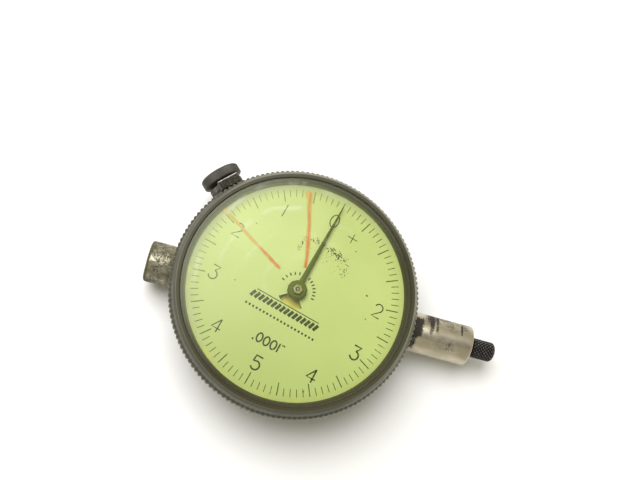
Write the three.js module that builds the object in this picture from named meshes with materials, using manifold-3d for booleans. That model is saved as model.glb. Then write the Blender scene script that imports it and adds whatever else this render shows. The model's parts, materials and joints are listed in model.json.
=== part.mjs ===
// A round dial indicator: bezel 2 1/4 in across, stem 3/8 in, 0.0001 in graduations.
// Millimetres, +Z up. The origin is the centre of the back cover's outer face, +Z points
// from the back to the crystal, and +Y points from the centre to the dust cap, so the stem
// and the contact point lie towards -Y.
import * as THREE from "three";
import { mergeVertices } from "three/addons/utils/BufferGeometryUtils.js";
import Module from "manifold-3d";

const wasm = await Module();
wasm.setup();

// ---------------------------------------------------------------- driving dimensions

const INCH = 25.4;
const BEZEL_RADIUS = 2.25 * INCH / 2;
const STEM_RADIUS = 0.375 * INCH / 2;
const STEM_END_Y = -1.75 * INCH;
const CONTACT_END_Y = -51.1;
const CAP_END_Y = 34.4;
const CAP_RADIUS = 4.85;
const SPINDLE_RADIUS = 2.0;
const SPINDLE_Z = 7.1;

const COVER_THICKNESS = 1.6;
const WALL_RADIUS = 26.2;
const BORE_RADIUS = 24.2;
const WALL_TOP_Z = 15.75;
const SHELF_RADIUS = 19.2;
const SHELF_Z = 8.3;
const SHELF_THICKNESS = 1.1;

const LOWER_PLATE_Z = 9.5;
const UPPER_PLATE_Z = 15.0;
const PLATE_RADIUS = 21.8;
const UPPER_PLATE_RADIUS = 19.5;
const LOWER_PLATE_THICKNESS = 1.0;
const UPPER_PLATE_THICKNESS = 0.9;

const DIAL_RADIUS = 25.85;
const DIAL_TOP_Z = 17.85;
const DIAL_THICKNESS = 0.5;
const DIAL_ZERO = THREE.MathUtils.degToRad(-14.9);
const WINDOW_RADIUS = 4.2;
const WINDOW_HALF_ANGLE = Math.PI / 4;
const RIM_Z = 20.1;
const RIM_RADIUS = 26.9;
const CRYSTAL_RADIUS = 25.9;
const CRYSTAL_TOP_Z = 21.7;

const POINTER_LENGTH = 22.6;
const HUB_RADIUS = 2.3;
const COLLET_RADIUS = 1.17;
const BLADE_Z = 18.9;
const BLADE_THICKNESS = 0.25;

const CLAMP_ANGLE = Math.PI / 4;
const CLAMP_Z = 10.2;
const CLAMP_HEAD_RADIUS = 4.8;
const CLAMP_BASE_RADIUS = 4.1;

const GEAR_MODULE = 0.25;
const PINION_TEETH = 12;
const TRAIN_TEETH = 74;
const TAKEUP_TEETH = 60;
const SECTOR_TEETH = 120;
const TRAVEL = 0.025 * INCH;
const TURNS_PER_TRAVEL = 2.5;

const GAP = 0.1; // between pieces that touch
const RUNNING = 0.06; // round a shaft in its bearing
const FINE = 48; // sides of a large round piece
const ROUND = 24; // sides of a middling one
const SMALL = 10; // sides of a small one

// ------------------------------------------------------------------ the gear train

const { cos, sin, sqrt, atan2, acos, tan, hypot, PI } = Math;
const pitchRadius = (teeth) => GEAR_MODULE * teeth / 2;

const CENTRE = [0, 0];
const INTERMEDIATE = [-10.4, -2.715];
const TAKEUP_DISTANCE = pitchRadius(PINION_TEETH + TAKEUP_TEETH);
const TAKEUP = [TAKEUP_DISTANCE * cos(PI / 3), TAKEUP_DISTANCE * sin(PI / 3)];

// The sector turns by the travel over the lever's length, while the pointer makes its turns.
const SECTOR_SWING = TURNS_PER_TRAVEL * 2 * PI
  * (PINION_TEETH / TRAIN_TEETH) * (PINION_TEETH / SECTOR_TEETH);
const LEVER_LENGTH = TRAVEL / SECTOR_SWING;
const SECTOR_MESH_DISTANCE = pitchRadius(PINION_TEETH + SECTOR_TEETH);
const SECTOR = [
  LEVER_LENGTH,
  INTERMEDIATE[1] - sqrt(SECTOR_MESH_DISTANCE ** 2 - (LEVER_LENGTH - INTERMEDIATE[0]) ** 2),
];
const LEVER_PIN_RADIUS = 0.5;
const ARBORS = { center: CENTRE, intermediate: INTERMEDIATE, sector: SECTOR, takeup: TAKEUP };

// ------------------------------------------------------------------------ materials

const finish = (color, roughness, metalness) =>
  new THREE.MeshStandardMaterial({ color, roughness, metalness });

const material = {
  bezel: finish(0x45423a, 0.5, 0.8),
  enamel: finish(0x302e2a, 0.6, 0.4),
  nickel: finish(0xb8ac98, 0.35, 0.9),
  blackSteel: finish(0x1c1b1a, 0.5, 0.6),
  dial: finish(0xc4d078, 0.6, 0.0),
  brass: finish(0xa8864a, 0.35, 0.9),
  steel: finish(0xa5a5a3, 0.3, 0.9),
  ruby: finish(0x9c2742, 0.15, 0.0),
  crystal: new THREE.MeshStandardMaterial({
    color: 0xf4f6ec, roughness: 0.08, metalness: 0, transparent: true, opacity: 0.25,
  }),
};

// ------------------------------------------------------------------ geometry helpers

// One closed body: shared corners merged, empty triangles dropped, faces outward.
function closed(geometry) {
  geometry.deleteAttribute("normal");
  geometry.deleteAttribute("uv");
  const merged = mergeVertices(geometry);
  const position = merged.getAttribute("position");
  const corner = (i) => new THREE.Vector3().fromBufferAttribute(position, i);
  const index = merged.getIndex().array;
  const kept = [];
  let volume = 0;
  for (let i = 0; i < index.length; i += 3) {
    const [a, b, c] = index.subarray(i, i + 3);
    if (a !== b && b !== c && c !== a) {
      kept.push(a, b, c);
      volume += corner(a).dot(corner(b).cross(corner(c)));
    }
  }
  if (volume < 0) kept.reverse();
  merged.setIndex(kept);
  return merged;
}

// A profile of [radius, z] points turned round Z. It lies on the axis at both ends, or it is
// the outline of a ring.
function turned(profile, sides = ROUND) {
  const points = profile.map(([r, z]) => new THREE.Vector2(r, z));
  if (profile[0][0] > 0) points.push(points[0].clone());
  return closed(new THREE.LatheGeometry(points, sides).rotateX(PI / 2));
}

const rod = (radius, z0, z1, sides = ROUND) =>
  turned([[0, z0], [radius, z0], [radius, z1], [0, z1]], sides);

const ring = (inner, outer, z0, z1, sides = ROUND) =>
  turned([[inner, z0], [outer, z0], [outer, z1], [inner, z1]], sides);

const block = (x0, x1, y0, y1, z0, z1) =>
  closed(new THREE.BoxGeometry(x1 - x0, y1 - y0, z1 - z0)
    .translate((x0 + x1) / 2, (y0 + y1) / 2, (z0 + z1) / 2));

// A flat outline given thickness between two heights.
const plate = (shape, z0, z1, curveSegments = SMALL) =>
  closed(new THREE.ExtrudeGeometry(shape, { depth: z1 - z0, bevelEnabled: false, curveSegments })
    .translate(0, 0, z0));

// A wire, or a strip, that follows a curve.
const swept = (curve, section, steps) =>
  closed(new THREE.ExtrudeGeometry(section, {
    extrudePath: curve, steps, bevelEnabled: false, curveSegments: 2,
  }));

function solid(geometry) {
  return new wasm.Manifold(new wasm.Mesh({
    numProp: 3,
    vertProperties: new Float32Array(geometry.getAttribute("position").array),
    triVerts: new Uint32Array(geometry.getIndex().array),
  }));
}

function geometryOf(manifold) {
  const mesh = manifold.getMesh();
  const geometry = new THREE.BufferGeometry();
  geometry.setAttribute("position", new THREE.BufferAttribute(mesh.vertProperties, 3));
  geometry.setIndex([...mesh.triVerts]);
  return geometry;
}

const cut = (from, ...tools) =>
  geometryOf(tools.reduce((left, tool) => left.subtract(solid(tool)), solid(from)));

const join = (...pieces) =>
  geometryOf(pieces.map(solid).reduce((sum, next) => sum.add(next)));

// Turn a piece made along +Z so that it lies along +Y, on the spindle's line.
const alongSpindle = (geometry) => geometry.rotateX(-PI / 2).translate(0, 0, SPINDLE_Z);

// Turn a piece made along +Z so that it points outward at the bezel clamp.
const alongClamp = (geometry) =>
  geometry.rotateY(PI / 2).rotateZ(CLAMP_ANGLE).translate(0, 0, CLAMP_Z);

const polar = (radius, angle) => [radius * cos(angle), radius * sin(angle)];
const degrees = THREE.MathUtils.degToRad;

const indicator = new THREE.Group();

function part(name, geometry, look, [x, y] = CENTRE, parent = indicator) {
  const mesh = new THREE.Mesh(geometry, look);
  mesh.name = name;
  mesh.position.set(x, y, 0);
  parent.add(mesh);
  return mesh;
}

// ------------------------------------------------------------------------ gear teeth

const PRESSURE_ANGLE = degrees(20);
const ADDENDUM = 0.85 * GEAR_MODULE;
const DEDENDUM = 1.25 * GEAR_MODULE;
const SLIM = 0.035; // taken off each flank for backlash
const involute = (angle) => tan(angle) - angle;

// Half of a tooth's angle at a radius: an involute that runs straight in below its base circle.
function halfTooth(teeth, radius) {
  const pitch = pitchRadius(teeth);
  const base = pitch * cos(PRESSURE_ANGLE);
  const pressure = acos(Math.min(1, base / radius));
  return PI / (2 * teeth) - SLIM / pitch + involute(PRESSURE_ANGLE) - involute(pressure);
}

// The flank points of one tooth, from root to root, round the angle of its centre line. The
// flank of a large wheel is nearly straight, so it needs no point at the pitch circle.
function toothPoints(teeth, angle) {
  const pitch = pitchRadius(teeth);
  const middle = teeth < TAKEUP_TEETH ? [pitch] : [];
  const radii = [pitch - DEDENDUM, ...middle, pitch + ADDENDUM];
  const up = radii.map((r) => polar(r, angle - halfTooth(teeth, r)));
  const down = radii.map((r) => polar(r, angle + halfTooth(teeth, r))).reverse();
  return [...up, ...down].map(([x, y]) => new THREE.Vector2(x, y));
}

function circleHole(radius, [x, y] = CENTRE) {
  return new THREE.Path().absarc(x, y, radius, 0, 2 * PI, true);
}

// A whole gear with a bore and, where it is large, round lightening holes.
function gear(teeth, firstTooth, z0, z1, lightening = 0) {
  const points = [];
  for (let i = 0; i < teeth; i++) {
    points.push(...toothPoints(teeth, firstTooth + 2 * PI * i / teeth));
  }
  const shape = new THREE.Shape(points);
  shape.holes.push(circleHole(ARBOR_RADIUS + GAP / 2));
  const holeRadius = 0.24 * pitchRadius(teeth);
  for (let i = 0; i < lightening; i++) {
    const place = polar(0.58 * pitchRadius(teeth), firstTooth + 2 * PI * i / lightening);
    shape.holes.push(circleHole(holeRadius, place));
  }
  return plate(shape, z0, z1, SMALL / 2);
}

// The angle of a tooth on the second wheel that meshes with the first wheel, whose tooth is at
// the angle tooth1. The line between the centres points along the angle line.
const meshing = (teeth1, tooth1, teeth2, line) =>
  line + PI + (PI - teeth1 * (tooth1 - line)) / teeth2;

const lineBetween = (from, to) => atan2(to[1] - from[1], to[0] - from[0]);

// --------------------------------------------------------------------------- the case

const ARBOR_RADIUS = 0.5;
const SCREW_BOSS_CENTRE = 21.4;
const SCREW_BOSS_RADIUS = 1.9;
const BACK_SCREW_HEAD = 1.6;
const BACK_SCREW_SHANK = 0.8;
const BACK_SCREW_RECESS_Z = 1.0;
const BACK_SCREW_END_Z = 5.5;
const PLATE_SCREW_CENTRE = 20.4;
const PLATE_SCREW_SHANK = 0.6;
const GROOVE_RADIUS = 25.75;
const GROOVE_Z = [14.95, 15.45];
const BUSHING_RADIUS = 3.0;
const CLAMP_BOSS_END = 27.9;
const CLAMP_SHANK = 1.45;

const backScrewPlaces = [45, 135, 225, 315].map((a) => polar(SCREW_BOSS_CENTRE, degrees(a)));
const plateScrewPlaces = [75, 195, 315].map((a) => polar(PLATE_SCREW_CENTRE, degrees(a)));
const pillarPlaces = [20, 130, 262].map((a) => polar(18.3, degrees(a)));

function caseBody() {
  const bottom = COVER_THICKNESS + GAP;
  const shelfTop = SHELF_Z + SHELF_THICKNESS;
  const shell = turned([
    [BORE_RADIUS, bottom], [WALL_RADIUS, bottom], [WALL_RADIUS, GROOVE_Z[0]],
    [GROOVE_RADIUS, GROOVE_Z[0]], [GROOVE_RADIUS, GROOVE_Z[1]], [WALL_RADIUS, GROOVE_Z[1]],
    [WALL_RADIUS, WALL_TOP_Z], [BORE_RADIUS, WALL_TOP_Z], [BORE_RADIUS, shelfTop],
    [SHELF_RADIUS, shelfTop], [SHELF_RADIUS, SHELF_Z], [BORE_RADIUS, SHELF_Z],
  ], FINE);
  const bosses = backScrewPlaces.map(([x, y]) =>
    rod(SCREW_BOSS_RADIUS, bottom + 0.7, SHELF_Z + 0.3, SMALL).translate(x, y, 0));
  const clampBoss = alongClamp(rod(CLAMP_BASE_RADIUS, BORE_RADIUS + 1, CLAMP_BOSS_END));
  const screwHoles = backScrewPlaces.map(([x, y]) =>
    rod(BACK_SCREW_SHANK + GAP, 0, BACK_SCREW_END_Z + 0.5, SMALL).translate(x, y, 0));
  const plateHoles = plateScrewPlaces.map(([x, y]) =>
    rod(PLATE_SCREW_SHANK + GAP, SHELF_Z - 1, shelfTop + 1, SMALL).translate(x, y, 0));
  return cut(
    join(shell, ...bosses, clampBoss),
    alongSpindle(rod(STEM_RADIUS + GAP, -30, -15)),
    alongSpindle(rod(BUSHING_RADIUS + GAP, 15, 30)),
    alongClamp(rod(CLAMP_SHANK + GAP, BORE_RADIUS + 0.5, CLAMP_BOSS_END + 1, SMALL)),
    ...screwHoles,
    ...plateHoles,
  );
}

function backCover() {
  const bevel = 0.4;
  const spigot = BORE_RADIUS - 0.2;
  const spigotTop = COVER_THICKNESS + 0.6;
  const spigotBore = spigot - 0.8;
  const cover = turned([
    [0, 0], [WALL_RADIUS - bevel, 0], [WALL_RADIUS, bevel], [WALL_RADIUS, COVER_THICKNESS],
    [spigot, COVER_THICKNESS], [spigot, spigotTop], [spigotBore, spigotTop],
    [spigotBore, COVER_THICKNESS], [0, COVER_THICKNESS],
  ], FINE);
  const holes = backScrewPlaces.flatMap(([x, y]) => [
    rod(BACK_SCREW_SHANK + GAP, -1, COVER_THICKNESS + 1, SMALL).translate(x, y, 0),
    rod(BACK_SCREW_HEAD + GAP, -1, BACK_SCREW_RECESS_Z, SMALL).translate(x, y, 0),
  ]);
  return cut(cover, ...holes);
}

// A cheese-head screw with a slot, head up. The head's underside is at z = 0.
function slottedScrew(headRadius, headHeight, shankRadius, length) {
  const screw = turned([
    [0, -length], [shankRadius, -length], [shankRadius, 0], [headRadius, 0],
    [headRadius, headHeight], [0, headHeight],
  ], SMALL);
  const slotHalfWidth = 0.18 * headRadius;
  const reach = headRadius + 1;
  return cut(screw, block(
    -reach, reach, -slotHalfWidth, slotHalfWidth, 0.5 * headHeight, headHeight + 1));
}

part("case_body", caseBody(), material.enamel);
part("back_cover", backCover(), material.enamel);
backScrewPlaces.forEach((place, i) => {
  const length = BACK_SCREW_END_Z - BACK_SCREW_RECESS_Z;
  const screw = slottedScrew(BACK_SCREW_HEAD, 0.8, BACK_SCREW_SHANK, length);
  const z = BACK_SCREW_RECESS_Z - GAP;
  part(`back_screw_${i + 1}`, screw.rotateX(PI).translate(0, 0, z), material.steel, place);
});

// --------------------------------------------------------------- the spindle and stem

const STEM_BORE = 3.3;
const STEM_INNER_Y = -22.2;
const BUSHING_BORE = SPINDLE_RADIUS + RUNNING;
const SPINDLE_END_Y = -45.3;
const SPINDLE_TOP_Y = 30;
const CONTACT_RADIUS = 2.38;
const STUD_RADIUS = 1.1;
const STUD_LENGTH = 3.5;
const SPRING_PIN_Y = -7.5;
const SPRING_PIN_RADIUS = 0.45;
const SPRING_X = -5.0;

function stemTube() {
  const chamfer = 0.35;
  return alongSpindle(turned([
    [STEM_BORE, STEM_END_Y], [STEM_RADIUS - chamfer, STEM_END_Y],
    [STEM_RADIUS, STEM_END_Y + chamfer], [STEM_RADIUS, STEM_INNER_Y],
    [STEM_BORE, STEM_INNER_Y],
  ]));
}

function dustCap() {
  const inner = 3.4;
  const mouth = 26.8;
  const roof = CAP_END_Y - 1.2;
  const bevel = 0.6;
  return alongSpindle(turned([
    [inner, mouth], [CAP_RADIUS, mouth], [CAP_RADIUS, CAP_END_Y - bevel],
    [CAP_RADIUS - bevel, CAP_END_Y], [0, CAP_END_Y], [0, roof], [inner, roof],
  ]));
}

function spindle() {
  const bar = alongSpindle(rod(SPINDLE_RADIUS, SPINDLE_END_Y, SPINDLE_TOP_Y));
  const bore = alongSpindle(
    rod(STUD_RADIUS + GAP, SPINDLE_END_Y - 1, SPINDLE_END_Y + STUD_LENGTH + 0.5, SMALL));
  const pinHole = rod(SPRING_PIN_RADIUS + GAP, -SPINDLE_RADIUS - 1, -0.9, SMALL)
    .rotateY(PI / 2).translate(0, SPRING_PIN_Y, SPINDLE_Z);
  return cut(bar, bore, pinHole);
}

// The contact point: a knurled barrel with a round nose, and a threaded stud behind it.
function contactPoint() {
  const shoulder = SPINDLE_END_Y - GAP;
  const noseStart = CONTACT_END_Y + CONTACT_RADIUS * 0.6;
  const profile = [[0, shoulder + STUD_LENGTH], [STUD_RADIUS, shoulder + STUD_LENGTH],
    [STUD_RADIUS, shoulder], [CONTACT_RADIUS, shoulder], [CONTACT_RADIUS, noseStart]];
  const noseSteps = 5;
  for (let i = 1; i <= noseSteps; i++) {
    const angle = PI / 2 * i / noseSteps;
    const y = noseStart - (noseStart - CONTACT_END_Y) * sin(angle);
    profile.push([i === noseSteps ? 0 : CONTACT_RADIUS * cos(angle), y]);
  }
  return alongSpindle(turned(profile));
}

part("stem", stemTube(), material.nickel);
part("stem_bushing", alongSpindle(ring(BUSHING_BORE, STEM_BORE - 0.08, STEM_END_Y + 0.15, -38)),
  material.brass);
part("upper_bushing", alongSpindle(ring(BUSHING_BORE, BUSHING_RADIUS, 22.5, 31)),
  material.brass);
part("dust_cap", dustCap(), material.nickel);
part("spindle", spindle(), material.steel);
part("contact_point", contactPoint(), material.blackSteel);

// The drive block on the spindle: a clamped collar with a post that reaches up through the
// lower plate and pushes the lever's pin, and a guide pin at its side.
const POST_HALF_WIDTH = 0.6;
const POST_Y = [SECTOR[1] - LEVER_PIN_RADIUS - 0.9, SECTOR[1] - LEVER_PIN_RADIUS - 0.05];
const POST_TOP_Z = 11.3;
const BLOCK_Y = [-17.2, -13.1];
const BLOCK_HALF_WIDTH = 3.2;
const GUIDE_PIN_Y = -15.2;

function driveBlock() {
  const body = block(-BLOCK_HALF_WIDTH, BLOCK_HALF_WIDTH, ...BLOCK_Y, 4.4, LOWER_PLATE_Z - 0.12);
  const post = block(-POST_HALF_WIDTH, POST_HALF_WIDTH, ...POST_Y, 9.2, POST_TOP_Z);
  const bore = alongSpindle(rod(SPINDLE_RADIUS + GAP / 2, -20, -10));
  const pinHole = rod(0.55, 2.5, 5, SMALL)
    .rotateY(PI / 2).translate(0, GUIDE_PIN_Y, SPINDLE_Z);
  return cut(join(body, post), bore, pinHole);
}

function guideFork() {
  const fork = block(4.9, 6.7, -17.7, -11.6, 5.4, LOWER_PLATE_Z - GAP);
  return cut(fork, block(4.5, 6.1, -20, -10, SPINDLE_Z - 0.52, SPINDLE_Z + 0.52));
}

part("drive_block", driveBlock(), material.brass);
part("guide_pin", rod(0.45, 2.8, 6.0, SMALL)
  .rotateY(PI / 2).translate(0, GUIDE_PIN_Y, SPINDLE_Z), material.steel);
part("guide_fork", guideFork(), material.brass);

// The return spring pulls the spindle out. It hangs between a pin in the spindle and a post
// under the lower plate, and it ends in a hook round each.
const SPRING_POST_Y = -17.6;
const SPRING_RADIUS = 1.0;
const SPRING_WIRE = 0.17;
const SPRING_TURNS = 7;
const HOOK_RADIUS = 0.78;

function springCurve() {
  const points = [];
  const hookSteps = 7;
  for (let i = 0; i <= hookSteps; i++) {
    const angle = -PI + 1.5 * PI * i / hookSteps;
    points.push(new THREE.Vector3(
      SPRING_X + HOOK_RADIUS * cos(angle), SPRING_POST_Y + HOOK_RADIUS * sin(angle), SPINDLE_Z));
  }
  const start = SPRING_POST_Y + 1.8;
  const end = SPRING_PIN_Y - 1.8;
  const steps = SPRING_TURNS * 12;
  for (let i = 0; i <= steps; i++) {
    const angle = PI / 2 + 2 * PI * i / 12;
    points.push(new THREE.Vector3(
      SPRING_X + SPRING_RADIUS * cos(angle), start + (end - start) * i / steps,
      SPINDLE_Z + SPRING_RADIUS * sin(angle)));
  }
  for (let i = 0; i <= hookSteps; i++) {
    const angle = PI + 1.5 * PI * i / hookSteps;
    points.push(new THREE.Vector3(
      SPRING_X, SPRING_PIN_Y + HOOK_RADIUS * cos(angle), SPINDLE_Z - HOOK_RADIUS * sin(angle)));
  }
  return new THREE.CatmullRomCurve3(points);
}

const wireSection = new THREE.Shape().absarc(0, 0, SPRING_WIRE, 0, 2 * PI);
part("return_spring", swept(springCurve(), wireSection, 130), material.steel);
part("spring_pin", rod(SPRING_PIN_RADIUS, SPRING_X - 0.9, -1.0, SMALL)
  .rotateY(PI / 2).translate(0, SPRING_PIN_Y, SPINDLE_Z), material.steel);
part("spring_post", rod(0.45, SPINDLE_Z - 0.9, LOWER_PLATE_Z - GAP, SMALL),
  material.steel, [SPRING_X, SPRING_POST_Y]);

// ------------------------------------------------------------------- plates and pillars

const JEWEL_RADIUS = 0.9;
const JEWEL_HEIGHT = 0.7;
const PIVOT_RADIUS = 0.25;
const PILLAR_RADIUS = 1.2;
const SPIGOT_RADIUS = 0.7;
const LOWER_TOP_Z = LOWER_PLATE_Z + LOWER_PLATE_THICKNESS;
const UPPER_TOP_Z = UPPER_PLATE_Z + UPPER_PLATE_THICKNESS;

const jewelHoles = (z0, z1) => Object.values(ARBORS).map(([x, y]) =>
  rod(JEWEL_RADIUS + 0.04, z0, z1, SMALL).translate(x, y, 0));

function lowerPlate() {
  const z0 = LOWER_PLATE_Z - 1;
  const z1 = LOWER_TOP_Z + 1;
  const holes = [
    ...pillarPlaces.map(([x, y]) => rod(SPIGOT_RADIUS + GAP, z0, z1, SMALL).translate(x, y, 0)),
    ...plateScrewPlaces.map(([x, y]) =>
      rod(PLATE_SCREW_SHANK + GAP, z0, z1, SMALL).translate(x, y, 0)),
  ];
  const slot = block(-POST_HALF_WIDTH - 0.25, POST_HALF_WIDTH + 0.25,
    POST_Y[0] - 0.3, POST_Y[1] + TRAVEL + 0.3, z0, z1);
  const disc = rod(PLATE_RADIUS, LOWER_PLATE_Z, LOWER_TOP_Z, FINE);
  return cut(disc, slot, ...holes, ...jewelHoles(z0, z1));
}

function upperPlate() {
  const z0 = UPPER_PLATE_Z - 1;
  const z1 = UPPER_TOP_Z + 1;
  const holes = pillarPlaces.map(([x, y]) =>
    rod(SPIGOT_RADIUS + GAP, z0, z1, SMALL).translate(x, y, 0));
  const disc = rod(UPPER_PLATE_RADIUS, UPPER_PLATE_Z, UPPER_TOP_Z, FINE);
  return cut(disc, ...holes, ...jewelHoles(z0, z1));
}

function pillar() {
  const foot = LOWER_TOP_Z + GAP / 2;
  const top = UPPER_PLATE_Z - GAP / 2;
  const post = turned([
    [0, LOWER_PLATE_Z + GAP], [SPIGOT_RADIUS, LOWER_PLATE_Z + GAP], [SPIGOT_RADIUS, foot],
    [PILLAR_RADIUS, foot], [PILLAR_RADIUS, top], [0, top],
  ], SMALL);
  return cut(post, rod(SPIGOT_RADIUS, top - 2.9, top + 1, SMALL));
}

part("lower_plate", lowerPlate(), material.brass);
part("upper_plate", upperPlate(), material.brass);
pillarPlaces.forEach((place, i) => {
  part(`pillar_${i + 1}`, pillar(), material.brass, place);
  const screw = slottedScrew(1.3, 0.6, SPIGOT_RADIUS - GAP, 3.5);
  part(`pillar_screw_${i + 1}`, screw.translate(0, 0, UPPER_TOP_Z + GAP / 2),
    material.steel, place);
});
plateScrewPlaces.forEach((place, i) => {
  const screw = slottedScrew(1.2, 0.6, PLATE_SCREW_SHANK, 2.1);
  part(`plate_screw_${i + 1}`, screw.translate(0, 0, LOWER_TOP_Z + GAP / 2),
    material.steel, place);
});

// --------------------------------------------------------------------- arbors and jewels

const POINTER_TIP_Z = 20.25;

for (const [name, place] of Object.entries(ARBORS)) {
  const throughPlate = name === "center";
  const upperBore = throughPlate ? ARBOR_RADIUS : PIVOT_RADIUS;
  const lowerZ = LOWER_PLATE_Z + 0.15;
  const upperZ = UPPER_PLATE_Z + 0.1;
  part(`${name}_jewel_lower`,
    ring(PIVOT_RADIUS + RUNNING, JEWEL_RADIUS, lowerZ, lowerZ + JEWEL_HEIGHT, SMALL),
    material.ruby, place);
  part(`${name}_jewel_upper`,
    ring(upperBore + RUNNING, JEWEL_RADIUS, upperZ, upperZ + JEWEL_HEIGHT, SMALL),
    material.ruby, place);
  const shoulder = UPPER_PLATE_Z - GAP / 2;
  const upperEnd = throughPlate
    ? [[ARBOR_RADIUS, DIAL_TOP_Z - 0.2], [0.4, DIAL_TOP_Z], [0.4, POINTER_TIP_Z], [0, POINTER_TIP_Z]]
    : [[ARBOR_RADIUS, shoulder], [PIVOT_RADIUS, shoulder], [PIVOT_RADIUS, UPPER_TOP_Z - 0.1],
      [0, UPPER_TOP_Z - 0.1]];
  part(`${name}_arbor`, turned([
    [0, lowerZ + GAP], [PIVOT_RADIUS, lowerZ + GAP], [PIVOT_RADIUS, LOWER_TOP_Z + GAP],
    [ARBOR_RADIUS, LOWER_TOP_Z + GAP], ...upperEnd,
  ], SMALL), material.steel, place);
}

// ------------------------------------------------------------------------ the wheels

const toCentre = lineBetween(INTERMEDIATE, CENTRE);
const toTakeup = lineBetween(CENTRE, TAKEUP);
const sectorLine = lineBetween(SECTOR, INTERMEDIATE);
const centreTooth = meshing(TRAIN_TEETH, toCentre, PINION_TEETH, toCentre);
const takeupTooth = meshing(PINION_TEETH, centreTooth, TAKEUP_TEETH, toTakeup);
const intermediateTooth = meshing(SECTOR_TEETH, sectorLine, PINION_TEETH, sectorLine);

part("center_pinion", gear(PINION_TEETH, centreTooth, 13.0, 14.85), material.steel);
part("intermediate_gear", gear(TRAIN_TEETH, toCentre, 13.2, 13.8, 4), material.brass,
  INTERMEDIATE);
part("intermediate_pinion", gear(PINION_TEETH, intermediateTooth, 11.4, 12.6), material.steel,
  INTERMEDIATE);
part("takeup_gear", gear(TAKEUP_TEETH, takeupTooth, 14.2, 14.7, 4), material.brass, TAKEUP);

// The sector: a toothed arc on two spokes, a round hub, and the short lever with its pin. At
// rest the middle of the arc stands half a swing before the line to the pinion.
function sectorGear() {
  const z0 = 11.6;
  const z1 = 12.4;
  const pitch = 2 * PI / SECTOR_TEETH;
  const teeth = 9;
  const first = Math.round(SECTOR_SWING / 2 / pitch) - (teeth - 1) / 2;
  const points = [];
  for (let i = 0; i < teeth; i++) {
    points.push(...toothPoints(SECTOR_TEETH, sectorLine + (first + i) * pitch));
  }
  const rim = pitchRadius(SECTOR_TEETH) - 1.6;
  const ends = [sectorLine + (first + teeth - 0.5) * pitch, sectorLine + (first - 0.5) * pitch];
  const inner = [0, 0.25, 0.5, 0.75, 1].map((t) => polar(rim, ends[0] + (ends[1] - ends[0]) * t));
  points.push(...inner.map(([x, y]) => new THREE.Vector2(x, y)));
  const arc = plate(new THREE.Shape(points), z0, z1);
  const spokeHalfWidth = 0.45;
  const spokeInset = 0.06;
  const armHalfWidth = 0.7;
  const spoke = block(1.5, rim + 0.4, -spokeHalfWidth, spokeHalfWidth, z0, z1);
  const spokes = [ends[0] - spokeInset, ends[1] + spokeInset]
    .map((angle) => spoke.clone().rotateZ(angle));
  const hub = rod(2.0, z0, z1, ROUND);
  const arm = block(-LEVER_LENGTH - 0.2, 0, -armHalfWidth, armHalfWidth, z0, z1);
  const pin = rod(LEVER_PIN_RADIUS, LOWER_TOP_Z + 0.2, z1, SMALL).translate(-LEVER_LENGTH, 0, 0);
  const bore = rod(ARBOR_RADIUS + GAP / 2, z0 - 1, z1 + 1, SMALL);
  return cut(join(arc, ...spokes, hub, arm, pin), bore);
}

part("sector_gear", sectorGear(), material.brass, SECTOR);

// The hairspring is a flat spiral strip round the take-up arbor.
class Spiral extends THREE.Curve {
  getPoint(t, target = new THREE.Vector3()) {
    const turns = 4;
    const middleZ = 12.8;
    const radius = 0.95 + 3.4 * t;
    const angle = 2 * PI * turns * t;
    return target.set(radius * cos(angle), radius * sin(angle), middleZ);
  }
}

const strip = new THREE.Shape([
  new THREE.Vector2(-0.4, -0.06), new THREE.Vector2(0.4, -0.06),
  new THREE.Vector2(0.4, 0.06), new THREE.Vector2(-0.4, 0.06),
]);
part("hairspring", swept(new Spiral(), strip, 80), material.steel, TAKEUP);
part("hairspring_stud", rod(0.4, LOWER_TOP_Z + GAP, 13.2, SMALL), material.steel,
  [TAKEUP[0] + 4.9, TAKEUP[1]]);

// --------------------------------------------------------- bezel, dial and crystal

function bezelRing() {
  const land = 26.75;
  const throat = 25.95;
  const snapGroove = 27.1;
  return turned([
    [land, 14.5], [28.3, 14.5], [BEZEL_RADIUS, 14.8], [BEZEL_RADIUS, 17.1], [28.2, 17.45],
    [27.55, 19.1], [RIM_RADIUS, RIM_Z - 0.05], [26.05, RIM_Z], [26.0, 19.1], [25.45, 19.1],
    [24.75, DIAL_TOP_Z + GAP], [throat, DIAL_TOP_Z + GAP], [throat, WALL_TOP_Z + 0.15],
    [land, WALL_TOP_Z + 0.15], [land, GROOVE_Z[1]], [snapGroove, GROOVE_Z[1]],
    [snapGroove, GROOVE_Z[0]], [land, GROOVE_Z[0]],
  ], FINE);
}

// The crystal's top is a shallow dome and its underside follows it.
function crystalDome() {
  const foot = 19.2;
  const edgeTop = 20.0;
  const edgeRadius = 25.4;
  const thickness = 1.0;
  const steps = 5;
  const dome = (r) => edgeTop + (CRYSTAL_TOP_Z - edgeTop) * (1 - (r / edgeRadius) ** 2);
  const radii = [...Array(steps + 1).keys()].map((i) => edgeRadius * i / steps);
  const under = radii.map((r) => [r, Math.max(dome(r) - thickness, foot)]);
  const over = radii.map((r) => [r, dome(r)]).reverse();
  return turned([...under, [CRYSTAL_RADIUS, foot], [CRYSTAL_RADIUS, 19.95], ...over], FINE);
}

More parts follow.
